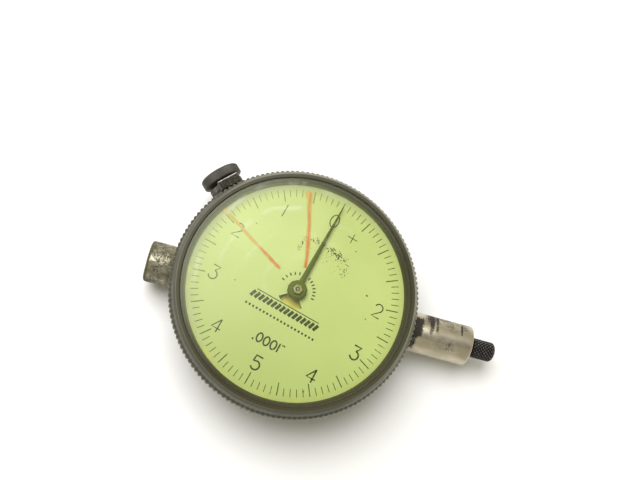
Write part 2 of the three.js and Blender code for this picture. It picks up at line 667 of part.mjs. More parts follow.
// The dial has a round hole for the hub and a sector window below it.
function dialDisc() {
  const shape = new THREE.Shape().absarc(0, 0, DIAL_RADIUS, 0, 2 * PI);
  const below = DIAL_ZERO + PI;
  const start = below - WINDOW_HALF_ANGLE;
  const end = below + WINDOW_HALF_ANGLE;
  const opening = new THREE.Path();
  const hole = 1.5;
  opening.absarc(0, 0, WINDOW_RADIUS, start, end, false);
  opening.absarc(0, 0, hole, end, start + 2 * PI, false);
  opening.closePath();
  shape.holes.push(opening);
  return plate(shape, DIAL_TOP_Z - DIAL_THICKNESS, DIAL_TOP_Z, ROUND);
}

// The snap ring is a wire ring with a gap, half in the case's groove, half in the bezel's.
function snapRing() {
  const shape = new THREE.Shape();
  const open = degrees(8);
  const [inner, outer] = [GROOVE_RADIUS + GAP, 27.1 - GAP];
  shape.absarc(0, 0, outer, open, 2 * PI - open, false);
  shape.absarc(0, 0, inner, 2 * PI - open, open, true);
  return plate(shape, GROOVE_Z[0] + GAP / 2, GROOVE_Z[1] - GAP / 2, FINE / 2);
}

part("bezel", bezelRing(), material.bezel);
part("crystal", crystalDome(), material.crystal);
part("dial", dialDisc(), material.dial);
part("dial_ring", ring(23.8, DIAL_RADIUS, 16.0, DIAL_TOP_Z - DIAL_THICKNESS - GAP, FINE),
  material.brass);
part("bezel_snap_ring", snapRing(), material.steel);
part("tension_ring", ring(24.4, 25.7, WALL_TOP_Z + 0.05, 15.93, FINE), material.steel);

// -------------------------------------------------------------------------- pointer

// A boss with a long thin blade that widens towards the boss.
function pointer() {
  const bossZ = [DIAL_TOP_Z + 0.55, DIAL_TOP_Z + 1.65];
  const boss = ring(0.95, HUB_RADIUS, ...bossZ, ROUND);
  const outline = [[1.6, 0.78], [3.4, 0.6], [8.3, 0.52], [17.5, 0.27], [POINTER_LENGTH, 0.12]];
  const upper = outline.map(([x, y]) => new THREE.Vector2(x, y));
  const lower = outline.map(([x, y]) => new THREE.Vector2(x, -y)).reverse();
  const blade = plate(new THREE.Shape([...upper, ...lower]), BLADE_Z, BLADE_Z + BLADE_THICKNESS);
  return join(boss, blade).rotateZ(DIAL_ZERO);
}

// A hexagonal collet with a round barrel that goes down through the boss.
function pointerCollet() {
  const barrel = rod(0.85, DIAL_TOP_Z + 0.35, DIAL_TOP_Z + 1.85, SMALL);
  const head = rod(COLLET_RADIUS, DIAL_TOP_Z + 1.75, DIAL_TOP_Z + 2.3, 6);
  return cut(join(barrel, head), rod(0.45, DIAL_TOP_Z, DIAL_TOP_Z + 3, SMALL));
}

part("pointer", pointer(), material.blackSteel);
part("pointer_collet", pointerCollet(), material.brass);

// ---------------------------------------------------------------------- bezel clamp

const SHOE_START = 28.2;
const SHOE_END = 31.0;
const HEAD_START = 31.5;
const HEAD_END = 34.2;

// The shoe is a round pad with a lip that stands up beside the bezel.
function clampShoe() {
  const pad = rod(CLAMP_BASE_RADIUS, SHOE_START, SHOE_END);
  const lipHeight = 6.0;
  const lipHalfWidth = 2.5;
  const bezelGap = 0.3;
  const lip = block(-lipHeight, 0, -lipHalfWidth, lipHalfWidth, BEZEL_RADIUS + bezelGap, SHOE_END);
  const hole = rod(CLAMP_SHANK + GAP, SHOE_START - 1, SHOE_END + 1, SMALL);
  return alongClamp(cut(join(pad, lip), hole));
}

function clampScrew() {
  const bevel = 0.35;
  const shankStart = 25.0;
  return alongClamp(turned([
    [0, shankStart], [CLAMP_SHANK, shankStart], [CLAMP_SHANK, HEAD_START],
    [CLAMP_HEAD_RADIUS - bevel, HEAD_START], [CLAMP_HEAD_RADIUS, HEAD_START + bevel],
    [CLAMP_HEAD_RADIUS, HEAD_END - bevel], [CLAMP_HEAD_RADIUS - bevel, HEAD_END],
    [0, HEAD_END],
  ]));
}

part("clamp_shoe", clampShoe(), material.bezel);
part("clamp_screw", clampScrew(), material.bezel);

export default indicator;
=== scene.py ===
"""A dial indicator lying on its back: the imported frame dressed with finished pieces.

Lengths in this script are millimetres until a mesh is made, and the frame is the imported
model's: the origin at the middle of the back cover, +Z to the crystal, +Y to the dust cap.
"""

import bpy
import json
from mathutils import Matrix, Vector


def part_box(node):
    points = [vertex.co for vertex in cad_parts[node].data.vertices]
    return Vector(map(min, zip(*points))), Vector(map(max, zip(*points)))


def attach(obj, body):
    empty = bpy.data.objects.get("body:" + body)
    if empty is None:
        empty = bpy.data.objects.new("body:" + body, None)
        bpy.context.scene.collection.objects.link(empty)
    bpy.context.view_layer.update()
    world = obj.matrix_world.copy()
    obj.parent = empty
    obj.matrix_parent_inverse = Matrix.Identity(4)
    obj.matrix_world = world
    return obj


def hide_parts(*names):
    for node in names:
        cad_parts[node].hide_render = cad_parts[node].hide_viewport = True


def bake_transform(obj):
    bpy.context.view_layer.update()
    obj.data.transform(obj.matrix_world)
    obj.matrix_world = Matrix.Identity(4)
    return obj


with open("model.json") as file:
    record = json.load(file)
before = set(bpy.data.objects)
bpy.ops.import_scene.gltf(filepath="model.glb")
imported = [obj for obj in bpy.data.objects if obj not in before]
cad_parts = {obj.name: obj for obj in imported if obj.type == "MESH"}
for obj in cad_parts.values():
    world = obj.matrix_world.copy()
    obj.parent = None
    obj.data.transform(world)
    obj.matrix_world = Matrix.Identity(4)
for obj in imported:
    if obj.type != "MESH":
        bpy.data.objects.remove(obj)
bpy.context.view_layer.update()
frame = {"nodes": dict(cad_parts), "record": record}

import json
import math
import random

import bmesh
import bpy
from mathutils import Matrix, Vector

MM = 0.001
random.seed(21)


def extent(node):
    """A node's lowest and highest corners, in millimetres."""
    low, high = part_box(node)
    return Vector(low) / MM, Vector(high) / MM


def middle(node):
    """The middle of a node, in millimetres."""
    return [(a + b) / 2 for a, b in zip(*extent(node))]


# ---- sizes from the frame

BEZEL_HIGH = extent("bezel")[1]
BEZEL_RADIUS, RIM_Z = BEZEL_HIGH.x, BEZEL_HIGH.z
DIAL_LOW, DIAL_HIGH = extent("dial")
DIAL_RADIUS, DIAL_Z = DIAL_HIGH.x, DIAL_HIGH.z
STEM_LOW, STEM_HIGH = extent("stem")
STEM_RADIUS = STEM_HIGH.x
SPINDLE_Z = middle("stem")[2]
CLAMP_ANGLE = math.pi / 4
CLAMP_Z = middle("clamp_screw")[2]

# ---- sizes that pieces share

DIAL_ZERO = math.radians(-14.9)
GRADUATIONS = 100
KNURL_TEETH = 150
CASE_WALL = 26.2
RING_GROOVE_LOW, RING_GROOVE_HIGH = 14.95, 15.45
CLAMP_BORE = 1.55
PRINT_THICKNESS = 0.02
SHARP_ANGLE = 35
ON_AXIS = 1e-6
GROOVE_SHAPE = 0.8


# ---- mesh helpers

def polar(radius, angle):
    """x and y at a radius and an angle."""
    return radius * math.cos(angle), radius * math.sin(angle)


def around(count):
    """Each index of a ring, with the next one."""
    return [(i, (i + 1) % count) for i in range(count)]


def spread(start, end, parts):
    """Evenly spaced values from start to end, both included."""
    return [start + (end - start) * i / parts for i in range(parts + 1)]


def rounded(points, radius, steps, closed):
    """A profile with each corner rounded by an arc-like curve."""
    count = len(points)
    result = []
    for i, point in enumerate(points):
        here = Vector(point)
        if not closed and i in (0, count - 1):
            result.append(tuple(here))
            continue
        before = Vector(points[i - 1])
        after = Vector(points[(i + 1) % count])
        reach = min(radius, 0.45 * (before - here).length, 0.45 * (after - here).length)
        start = here + (before - here).normalized() * reach
        end = here + (after - here).normalized() * reach
        for t in spread(0, 1, steps):
            curve = start * (1 - t) ** 2 + here * 2 * t * (1 - t) + end * t ** 2
            result.append(tuple(curve))
    return result


def lathe(profile, columns, closed=False, warp=None):
    """Vertices and faces of a profile of (radius, z) turned round Z.

    A closed profile makes a ring. An open one starts and ends on the axis. warp gives a
    point its radius: it takes the profile's radius, the angle and z.
    """
    verts, faces, rows = [], [], []
    for radius, z in profile:
        if radius < ON_AXIS:
            rows.append([len(verts)] * columns)
            verts.append((0, 0, z))
            continue
        rows.append([len(verts) + column for column in range(columns)])
        for column in range(columns):
            angle = 2 * math.pi * column / columns
            verts.append((*polar(warp(radius, angle, z) if warp else radius, angle), z))
    pairs = list(zip(rows, rows[1:]))
    if closed:
        pairs.append((rows[-1], rows[0]))
    for low, high in pairs:
        for column, after in around(columns):
            corners = [low[column], low[after], high[after], high[column]]
            face = [c for i, c in enumerate(corners) if c != corners[i - 1]]
            if len(face) > 2:
                faces.append(face)
    return verts, faces


def ribbed(count, depth, inner, low=-math.inf, high=math.inf, fade=0):
    """A warp that cuts straight grooves outside a radius, from one z to another.

    With a fade, they reach their depth that far outside the radius.
    """
    def warp(radius, angle, z):
        if radius < inner or not low < z < high:
            return radius
        deep = depth * min(1, (radius - inner) / fade) if fade else depth
        return radius - deep * (1 - abs(math.sin(angle * count / 2)) ** GROOVE_SHAPE)
    return warp


def polygon(sides, inner):
    """A warp that gives flat sides to what lies outside a radius."""
    half = math.pi / sides

    def warp(radius, angle, z):
        sector = (angle + half) % (2 * half) - half
        return radius if radius < inner else radius * math.cos(half) / math.cos(sector)
    return warp


def prism(outline, first, second, tops=None):
    """A solid on an outline between two heights. tops are the faces of its first end."""
    count = len(outline)
    tops = tops or [list(range(count))]
    verts = [(x, y, z) for z in (first, second) for x, y in outline]
    ends = [[i + count for i in reversed(face)] for face in tops]
    return verts, tops + ends + [[i, i + count, j + count, j] for i, j in around(count)]


def skin(verts, sides):
    """A closed tube. Its points come in rows, and a row goes once round it."""
    last = len(verts) - sides
    faces = [[row + i, row + j, row + sides + j, row + sides + i]
             for row in range(0, last, sides) for i, j in around(sides)]
    return verts, faces + [list(range(sides))[::-1], list(range(last, last + sides))]


def moved(shape, matrix):
    """A shape with its points put through a matrix."""
    verts, faces = shape
    return [tuple(matrix @ Vector(v)) for v in verts], faces


def joined(*shapes):
    """Several shapes as one."""
    verts, faces = [], []
    for more_verts, more_faces in shapes:
        start = len(verts)
        verts.extend(more_verts)
        faces.extend([i + start for i in face] for face in more_faces)
    return verts, faces


def turned(profile, soft, steps, columns, axis=Matrix(), ring=False, warp=None):
    """A profile with its corners rounded, lathed and laid along an axis."""
    return moved(lathe(rounded(profile, soft, steps, ring), columns, ring, warp), axis)


ALONG_STEM = Matrix.Translation((0, 0, SPINDLE_Z)) @ Matrix.Rotation(-math.pi / 2, 4, "X")
ALONG_CLAMP = (Matrix.Translation((0, 0, CLAMP_Z)) @ Matrix.Rotation(CLAMP_ANGLE, 4, "Z")
               @ Matrix.Rotation(math.pi / 2, 4, "Y"))
# The dial's own frame: x to the reader's right and y up to its zero.
ON_DIAL = Matrix.Rotation(DIAL_ZERO - math.pi / 2, 4, "Z")


def solid(name, shape, sharp=None):
    """An object from a shape in millimetres, smooth but for edges past a sharp angle."""
    verts, faces = shape
    mesh = bpy.data.meshes.new(name)
    mesh.from_pydata([Vector(v) * MM for v in verts], [], faces)
    mesh.validate()
    if sharp:
        mesh.shade_smooth()
        mesh.set_sharp_from_angle(angle=math.radians(sharp))
    obj = bpy.data.objects.new(name, mesh)
    bpy.context.collection.objects.link(obj)
    work = bmesh.new()
    work.from_mesh(mesh)
    bmesh.ops.recalc_face_normals(work, faces=work.faces)
    work.to_mesh(mesh)
    work.free()
    return obj


def piece(name, shape, body, material, replaces=(), sharp=SHARP_ANGLE):
    """A solid with its material. It rides on a body, if one is named."""
    obj = solid(name, shape, sharp)
    obj.data.materials.append(material)
    if body:
        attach(obj, body)
    if replaces:
        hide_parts(*replaces)
    return obj


def carve(obj, *shapes):
    """Cut shapes out of an object."""
    for shape in shapes:
        cutter = solid("cutter", shape)
        cut = obj.modifiers.new("cut", "BOOLEAN")
        cut.operation = "DIFFERENCE"
        cut.solver = "EXACT"
        cut.object = cutter
        bpy.context.view_layer.update()
        graph = bpy.context.evaluated_depsgraph_get()
        done = bpy.data.meshes.new_from_object(obj.evaluated_get(graph))
        obj.modifiers.remove(cut)
        old, spent, name = obj.data, cutter.data, obj.data.name
        obj.data = done
        bpy.data.objects.remove(cutter)
        bpy.data.meshes.remove(old)
        bpy.data.meshes.remove(spent)
        done.name = name
    obj.data.set_sharp_from_angle(angle=math.radians(SHARP_ANGLE))


def rod(radius, z0, z1, columns):
    """A plain cylinder, used to cut holes."""
    return lathe([(0, z0), (radius, z0), (radius, z1), (0, z1)], columns)


def box_shape(low, high):
    """A plain block between two corners, used to cut slots."""
    outline = [(low[0], low[1]), (low[0], high[1]), (high[0], high[1]), (high[0], low[1])]
    return prism(outline, low[2], high[2])


# ---- material helpers

class Look:
    """A node material on a Principled shader, with the nodes that the looks share."""

    def __init__(self, name, roughness=0.5, metallic=0.0, specular=0.5):
        self.material = bpy.data.materials.new(name)
        self.material.use_nodes = True
        self.tree = self.material.node_tree
        self.shader = self.tree.nodes["Principled BSDF"]
        self.feed(self.shader, {"Roughness": roughness, "Metallic": metallic,
                                "Specular IOR Level": specular})
        self.place = self.node("ShaderNodeTexCoord").outputs["Object"]
        self.split = None

    def feed(self, node, inputs):
        """Set a number or a colour on each socket named, or link an output to it."""
        for name, source in inputs.items():
            socket = node.inputs[name]
            if isinstance(source, (int, float)):
                socket.default_value = source
            elif isinstance(source, tuple):
                socket.default_value = (*source, 1) if socket.type == "RGBA" else source
            elif source is not None:
                self.tree.links.new(source, socket)

    def node(self, kind, inputs=None, **settings):
        node = self.tree.nodes.new(kind)
        for key, value in settings.items():
            setattr(node, key, value)
        self.feed(node, inputs or {})
        return node

    def axis(self, name):
        """One coordinate of the place on the piece, in metres."""
        if self.split is None:
            self.split = self.node("ShaderNodeSeparateXYZ", {0: self.place})
        return self.split.outputs[name]

    def stretched(self, *scale):
        """The place, scaled along each axis, for streaks."""
        mapping = self.node("ShaderNodeMapping", {"Vector": self.place, "Scale": scale})
        return mapping.outputs[0]

    def noise(self, size, detail, rough, place=None):
        """Noise with features of a size in millimetres."""
        noise = self.node("ShaderNodeTexNoise", {
            "Vector": place or self.place, "Scale": 1 / (size * MM), "Detail": detail,
            "Roughness": rough})
        return noise.outputs["Fac"]

    def ramp(self, value, *stops):
        """A colour or grey ramp through (position, colour) stops."""
        node = self.node("ShaderNodeValToRGB", {0: value})
        elements = node.color_ramp.elements
        for element, (position, colour) in zip(elements, stops, strict=True):
            element.position = position
            grey = isinstance(colour, (int, float))
            element.color = (colour, colour, colour, 1) if grey else (*colour, 1)
        return node.outputs["Color"]

    def mottled(self, size, dark, light, low=0.3, high=0.7):
        """Soft noise of a size, and the colour it makes between a dark and a light one."""
        mottle = self.noise(size, 3, 0.5)
        return mottle, self.ramp(mottle, (low, dark), (high, light))

    def maths(self, operation, a, b=0.0):
        return self.node("ShaderNodeMath", {0: a, 1: b}, operation=operation).outputs[0]

    def times(self, a, b):
        return self.maths("MULTIPLY", a, b)

    def plus(self, a, b):
        return self.maths("ADD", a, b)

    def minus(self, a, b):
        return self.maths("SUBTRACT", a, b)

    def between(self, value, low, high):
        """A value taken from low..high to 0..1, and clamped."""
        node = self.node("ShaderNodeMapRange", {
            "Value": value, "From Min": low, "From Max": high})
        return node.outputs["Result"]

    def span(self, value, low, high):
        """A length taken from low..high millimetres to 0..1, and clamped."""
        return self.between(value, low * MM, high * MM)

    def within(self, value, low, high, soft):
        """1 where a length lies in low..high millimetres, fading over soft."""
        return self.maths("MINIMUM", self.span(value, low - soft, low),
                          self.span(value, high + soft, high))

    def toward_top(self, low, high):
        """0 to 1 across the dial, toward the top of the photo."""
        return self.span(self.plus(self.axis("X"), self.axis("Y")), low, high)

    def radius(self, second=None):
        """The distance from an axis square to X and to a second coordinate, or Y."""
        first, second = self.axis("X"), second or self.axis("Y")
        return self.maths("SQRT", self.plus(self.times(first, first),
                                            self.times(second, second)))

    def mix(self, share, a, b):
        node = self.node("ShaderNodeMix", {"Factor": share, "A": a, "B": b},
                         data_type="RGBA")
        return node.outputs["Result"]

    def tint(self, colour, share, strength, target):
        """A colour taken toward another by a share, at a strength."""
        return self.mix(self.times(share, strength), colour, target)

    def bump(self, height, depth):
        """Bump of a depth in millimetres."""
        bump = self.node("ShaderNodeBump", {"Distance": depth * MM, "Height": height})
        return bump.outputs[0]

    def grain(self, depth, detail=3, rough=0.6):
        """Fine, even bump of a depth in millimetres."""
        return self.bump(self.noise(0.15, detail, rough), depth)

    def finish(self, colour, roughness, normal=None, metallic=None):
        """Feed the Principled shader. What is None stays as it is."""
        self.feed(self.shader, {"Base Color": colour, "Roughness": roughness,
                                "Normal": normal, "Metallic": metallic})
        return self.material

    def layers(self, below, *above):
        """Shaders over one another, each by its share, in place of the Principled one."""
        for share, shader in above:
            below = self.node("ShaderNodeMixShader", {
                0: share, 1: below.outputs[0], 2: shader.outputs[0]})
        output = self.tree.nodes["Material Output"]
        self.feed(output, {"Surface": below.outputs[0]})
        self.tree.nodes.remove(self.shader)
        return self.material


# ---- materials

PAINT_GREEN = (0.415, 0.488, 0.138)
CLEAR = (0.985, 0.99, 0.98)


def worn_oxide(name, dark, light, worn, wear, roughness, metallic=0.3, specular=0.5):
    """Dark oxidised metal, faintly mottled, with bare metal where it is rubbed."""
    look = Look(name, roughness, metallic, specular)
    mottle, base = look.mottled(6, dark, light)
    speck = look.noise(0.45, 5, 0.7)
    rubbed = look.between(look.plus(speck, look.times(mottle, 0.25)), wear, wear + 0.1)
    rough = look.ramp(mottle, (0.3, roughness + 0.06), (0.7, roughness - 0.06))
    return look.finish(look.mix(rubbed, base, worn), rough, look.grain(0.012))


def scuffed_enamel():
    """Black enamel: scratched on the flat back, and rubbed to metal along its edges."""
    look = Look("case_enamel", 0.5, 0.2)
    mottle, colour = look.mottled(6, (0.028, 0.026, 0.021), (0.05, 0.047, 0.038))
    speck = look.noise(0.35, 5, 0.7)
    height = look.axis("Z")
    on_back = look.span(height, 0.06, 0.02)
    hair = [look.noise(0.5, 3, 0.6, look.stretched(*scale))
            for scale in ((1, 0.05, 1), (0.06, 1, 1))]
    scratches = look.between(look.maths("MAXIMUM", *hair), 0.66, 0.72)
    scuffs = look.times(look.times(scratches, on_back), look.between(mottle, 0.35, 0.6))
    colour = look.tint(colour, scuffs, 0.5, (0.22, 0.2, 0.16))
    rim = look.times(look.span(look.radius(), 25.6, 25.9), look.span(height, 0.7, 0.3))
    worn = look.between(look.plus(speck, look.times(mottle, 0.4)), 0.66, 0.74)
    colour = look.tint(colour, look.times(rim, worn), 0.8, (0.34, 0.29, 0.2))
    chips = look.between(speck, 0.72, 0.76)
    colour = look.tint(colour, chips, 0.6, (0.25, 0.21, 0.14))
    rough = look.ramp(mottle, (0.3, 0.56), (0.7, 0.44))
    return look.finish(colour, rough, look.grain(0.012))


def bezel_oxide_and_light():
    """Olive-grey oxide, rubbed on the tooth crests, with painted light and shade: lighter
    on the +X-Y side, the wall above the dial grey on its lit side and browner on its shaded
    side, a painted green reflection of the dial at the wall's foot, and a painted highlight
    on the crest over the wall.
    """
    look = Look("bezel_oxide_painted_light", 0.42, 0.3)
    mottle, base = look.mottled(7, (0.062, 0.06, 0.036), (0.077, 0.075, 0.045))
    radius, height = look.radius(), look.axis("Z")
    # Painted light: the +X-Y side is taken lighter, as if lit from there.
    painted_light_right = look.span(look.minus(look.axis("X"), look.axis("Y")), -6, 34)
    lit = look.toward_top(-10, 36)
    base = look.tint(base, painted_light_right, 0.8, (0.225, 0.222, 0.162))
    side = look.span(look.axis("Y"), 12, -24)
    wear = look.plus(look.noise(0.5, 4, 0.7), look.times(side, 0.24))
    crest = look.times(look.span(radius, 28.3, 28.56), look.between(wear, 0.52, 0.68))
    colour = look.tint(base, crest, 0.7, (0.42, 0.40, 0.34))
    speck = look.between(look.noise(0.3, 2, 0.5), 0.71, 0.74)
    colour = look.tint(colour, speck, 0.5, (0.45, 0.43, 0.36))
    # Painted light and shade on the wall above the dial: grey on its lit +X+Y side, dark
    # brown on the other, and near the dial a painted green reflection of it, stronger on
    # the lit side.
    wall_lit_and_shaded = look.mix(lit, (0.05, 0.045, 0.026), (0.115, 0.112, 0.083))
    near_dial = look.span(height, 19.0, 17.9)
    green = look.plus(0.12, look.times(lit, 0.6))
    wall_lit_and_shaded = look.tint(wall_lit_and_shaded, near_dial, green, (0.36, 0.42, 0.14))
    wall = look.span(radius, 26.93, 26.85)
    colour = look.mix(wall, colour, wall_lit_and_shaded)
    # Painted highlight: a light line on the crest over the wall, on the +X-Y side.
    painted_crest_highlight = look.times(look.within(radius, 26.95, 27.1, 0.05), painted_light_right)
    colour = look.tint(colour, painted_crest_highlight, 0.7, (0.26, 0.25, 0.19))
    # Painted shade: the wall's shaded side reflects less and is less metallic.
    wall_shaded_side = look.times(wall, look.minus(1, lit))
    look.feed(look.shader, {"Specular IOR Level": look.minus(0.5, look.times(wall_shaded_side, 0.45))})
    joint = look.times(look.within(radius, 25.9, 26.14, 0.04),
                       look.span(height, 19.2, 19.6))
    colour = look.tint(colour, joint, lit, (0.02, 0.017, 0.01))
    rough = look.ramp(mottle, (0.3, 0.46), (0.7, 0.38))
    metal = look.minus(0.3, look.times(wall_shaded_side, 0.3))
    return look.finish(colour, rough, look.grain(0.01), metal)


def plated(name, clean, stain, pit, pit_share, patches, fine):
    """Nickel plate with stains and pits.

    A patch adds pits over a stretch: (y from, y to, x from, x to, soft edge, how much).
    """
    look = Look(name, 0.36, 0.85)
    streak = look.noise(2.2, 6, 0.6, look.stretched(1, 0.45, 1))
    colour = look.ramp(streak, (0.35, stain), (0.62, clean))
    speck = look.noise(fine, 8, 0.8)
    field = look.noise(2.0, 3, 0.6)
    level = look.plus(look.times(speck, 1.5), look.times(field, 0.5))
    for y_from, y_to, x_from, x_to, soft, much in patches:
        place = look.times(look.within(look.axis("Y"), y_from, y_to, soft),
                           look.within(look.axis("X"), x_from, x_to, soft))
        level = look.plus(level, look.times(place, much))
    dark = look.between(level, pit_share, pit_share + 0.06)
    colour = look.mix(dark, colour, pit)
    rough = look.mix(dark, (0.32, 0.32, 0.32), (0.75, 0.75, 0.75))
    metal = look.minus(0.9, look.times(dark, 0.9))
    relief = look.minus(look.times(speck, 0.35), dark)
    return look.finish(colour, rough, look.bump(relief, 0.05), metal)


def knurled_steel(name, dark, crest, axis_z, low, high):
    """Blackened steel, lighter on the crests of a knurl round an axis along Y."""
    look = Look(name, 0.42, 0.5)
    radius = look.radius(look.minus(look.axis("Z"), axis_z * MM))
    wear = look.between(look.noise(0.5, 4, 0.7), 0.4, 0.62)
    share = look.times(look.span(radius, low, high),
                       look.plus(0.25, look.times(wear, 0.75)))
    rough = look.ramp(wear, (0, 0.5), (1, 0.36))
    return look.finish(look.mix(share, dark, crest), rough, look.grain(0.01))


def dial_paint():
    """Yellow-green matt paint, a little mottled, with stains and rust; painted shade makes
    it darker toward -X+Y and darker and browner at the edge, most on the +X+Y side where
    the bezel wall's shadow falls.
    """
    look = Look("dial_paint", 0.55)
    _, colour = look.mottled(14, PAINT_GREEN, (0.447, 0.522, 0.156), 0.35, 0.65)
    # Painted shade: darker toward -X+Y; rust gathers on that side too.
    across = look.minus(look.axis("Y"), look.times(look.axis("X"), 1.8))
    shade_and_rust_side = look.span(across, -8, 38)
    colour = look.tint(colour, shade_and_rust_side, 0.9, (0.345, 0.42, 0.108))
    radius = look.radius()
    # Painted shade: darker at the edge, under the bezel wall.
    edge = look.span(radius, 22.6, 25.0)
    colour = look.tint(colour, edge, 0.5, (0.33, 0.37, 0.08))
    # Painted shadow of the bezel wall: darker still at the edge on the +X+Y side.
    lit = look.times(look.toward_top(-10, 36), 0.75)
    colour = look.tint(colour, look.span(radius, 22.4, 24.6), lit, (0.24, 0.25, 0.14))
    stain = look.between(look.noise(1.1, 5, 0.7), 0.66, 0.74)
    colour = look.tint(colour, stain, 0.25, (0.25, 0.27, 0.06))
    rust = look.times(look.between(look.noise(2.5, 3, 0.6), 0.53, 0.63),
                      look.times(shade_and_rust_side, look.span(radius, 23.0, 24.1)))
    colour = look.tint(colour, rust, 0.4, (0.5, 0.46, 0.03))
    return look.finish(colour, 0.55, look.grain(0.006, 2, 0.5))


def ink(name, colour, solid, speck, fade=0.36):
    """Print worn through in places, and fainter toward the +X+Y side of the dial."""
    look = Look(name, 0.7, 0, 0.1)
    wear = look.between(look.noise(speck, 4, 0.7), 0.3, 0.42)
    kept = look.minus(solid, look.times(look.toward_top(4, 32), fade))
    return look.finish(look.tint(PAINT_GREEN, wear, kept, colour), 0.6)


def brushed(name, dark, light, roughness=0.35):
    """Turned or brushed bare metal with fine lines."""
    look = Look(name, roughness, 0.95)
    line = look.noise(1.2, 4, 0.6, look.stretched(1, 1, 14))
    tone = look.ramp(look.noise(5, 4, 0.6), (0.3, dark), (0.7, light))
    rough = look.ramp(line, (0.3, roughness + 0.12), (0.7, roughness - 0.08))
    return look.finish(look.tint(tone, line, 0.5, dark), rough, look.bump(line, 0.01))


def jewel():
    """Clear red synthetic ruby, polished."""
    look = Look("ruby", 0.12)
    tone, colour = look.mottled(0.8, (0.25, 0.01, 0.04), (0.45, 0.03, 0.09))
    look.feed(look.shader, {"Coat Weight": 0.6})
    return look.finish(colour, look.ramp(tone, (0.2, 0.08), (0.8, 0.16)))


def crystal_plastic():
    """Clear acrylic: more gloss toward the edge, a faint haze and curved scratches, with a
    painted sheen: the gloss a little stronger, and the scratches showing, only toward the
    +X+Y side.
    """
    look = Look("crystal_plastic")
    clear = look.node("ShaderNodeBsdfTransparent", {"Color": CLEAR})
    gloss = look.node("ShaderNodeBsdfGlossy", {"Roughness": 0.28, "Color": (0.95, 1, 0.8)})
    haze = look.node("ShaderNodeBsdfDiffuse", {"Color": (0.92, 0.93, 0.88)})
    weight = look.node("ShaderNodeLayerWeight", {"Blend": 0.5})
    grazing = look.maths("POWER", weight.outputs["Facing"], 5)
    # Painted sheen: the gloss is a little stronger, and the scratches only show, toward the
    # +X+Y side.
    side = look.toward_top(-4, 24)
    share = look.plus(look.plus(0.012, look.times(side, 0.009)), look.times(grazing, 0.85))
    rings = look.node("ShaderNodeTexWave", {
        "Vector": look.place, "Scale": 60, "Distortion": 4, "Detail": 3,
        "Detail Scale": 0.8}, wave_type="RINGS", rings_direction="Z")
    scratches = look.between(rings.outputs["Fac"], 0.82, 0.97)
    rubs = look.between(look.noise(5, 3, 0.6), 0.44, 0.6)
    scratch_haze_and_sheen = look.plus(0.003, look.times(look.times(scratches, rubs), look.times(side, 0.11)))
    return look.layers(clear, (share, gloss), (scratch_haze_and_sheen, haze))


def crystal_underside():
    """The crystal's inner face: clear, with a trace of dust."""
    look = Look("crystal_underside")
    clear = look.node("ShaderNodeBsdfTransparent", {"Color": CLEAR})
    dust = look.node("ShaderNodeBsdfDiffuse", {"Color": (0.8, 0.8, 0.74)})
    share = look.times(look.between(look.noise(0.5, 3, 0.6), 0.7, 0.8), 0.02)
    return look.layers(clear, (share, dust))


STEM_PITS = [
    (-31.2, -28.0, -1.2, 2.2, 1.0, 0.46), (-34.0, -28.0, 1.8, 5.0, 1.0, 0.13),
    (-34.2, -33.5, -1.0, 4.4, 0.3, 0.22), (-35.4, -35.0, 0.2, 4.2, 0.25, 0.2),
    (-43.0, -33.0, 2.6, 5.0, 1.2, 0.16), (-30.4, -28.0, -4.2, -1.4, 0.7, 0.34),
    (-40.0, -35.5, -2.8, -0.6, 1.0, 0.13), (-41.4, -41.1, 1.2, 3.6, 0.15, 0.3),
    (-42.5, -33.5, 0.6, 4.4, 1.0, 0.07), (-42.0, -35.0, -4.4, -1.6, 1.0, 0.08),
]
BEZEL_OXIDE_PAINTED_LIGHT = bezel_oxide_and_light()
SCREW_OXIDE = worn_oxide("screw_oxide", (0.039, 0.036, 0.027), (0.057, 0.053, 0.042),
                         (0.3, 0.28, 0.24), 0.74, 0.42)
SHOE_OXIDE = worn_oxide("shoe_oxide", (0.05, 0.046, 0.036), (0.09, 0.085, 0.066),
                        (0.42, 0.40, 0.35), 0.70, 0.45)
BARE_EDGE = worn_oxide("bare_edge", (0.62, 0.60, 0.55), (0.75, 0.74, 0.70),
                       (0.10, 0.09, 0.075), 0.66, 0.35)
ENAMEL = scuffed_enamel()
CONTACT_BLACK = knurled_steel("contact_black", (0.006, 0.0055, 0.005), (0.22, 0.21, 0.19),
                              SPINDLE_Z, 2.22, 2.39)
BLADE = worn_oxide("pointer_black", (0.07, 0.086, 0.003), (0.095, 0.117, 0.006),
                   (0.2, 0.21, 0.1), 0.74, 0.65, 0.0, 0.1)
COLLET_BRASS = worn_oxide("collet_brass", (0.14, 0.14, 0.03), (0.21, 0.21, 0.055),
                          (0.45, 0.42, 0.18), 0.74, 0.45, 0.2, 0.3)
ARBOR_STEEL = worn_oxide("arbor_steel", (0.07, 0.07, 0.03), (0.12, 0.12, 0.055),
                         (0.4, 0.4, 0.3), 0.7, 0.4, 0.4)
NICKEL = plated("worn_nickel", (0.58, 0.53, 0.40), (0.42, 0.375, 0.27),
                (0.026, 0.019, 0.012), 1.24, STEM_PITS, 0.22)
CAP_PITS = [(33.85, 34.15, -6.0, 6.0, 0.1, 0.5)]
CAP_NICKEL = plated("pitted_nickel", (0.47, 0.45, 0.33), (0.19, 0.18, 0.105),
                    (0.075, 0.062, 0.03), 0.98, CAP_PITS, 0.24)
DIAL_PAINT_AND_SHADE = dial_paint()
INK = ink("dial_ink", (0.035, 0.05, 0.01), 0.92, 0.4, 0.42)
BOLD_INK = ink("bold_ink", (0.024, 0.036, 0.008), 0.97, 0.35)
RED_PAINT = ink("red_paint", (0.50, 0.13, 0.018), 0.95, 0.55, 0.4)
RED_WASH = ink("red_wash", (0.54, 0.28, 0.07), 0.85, 0.5, 0.25)
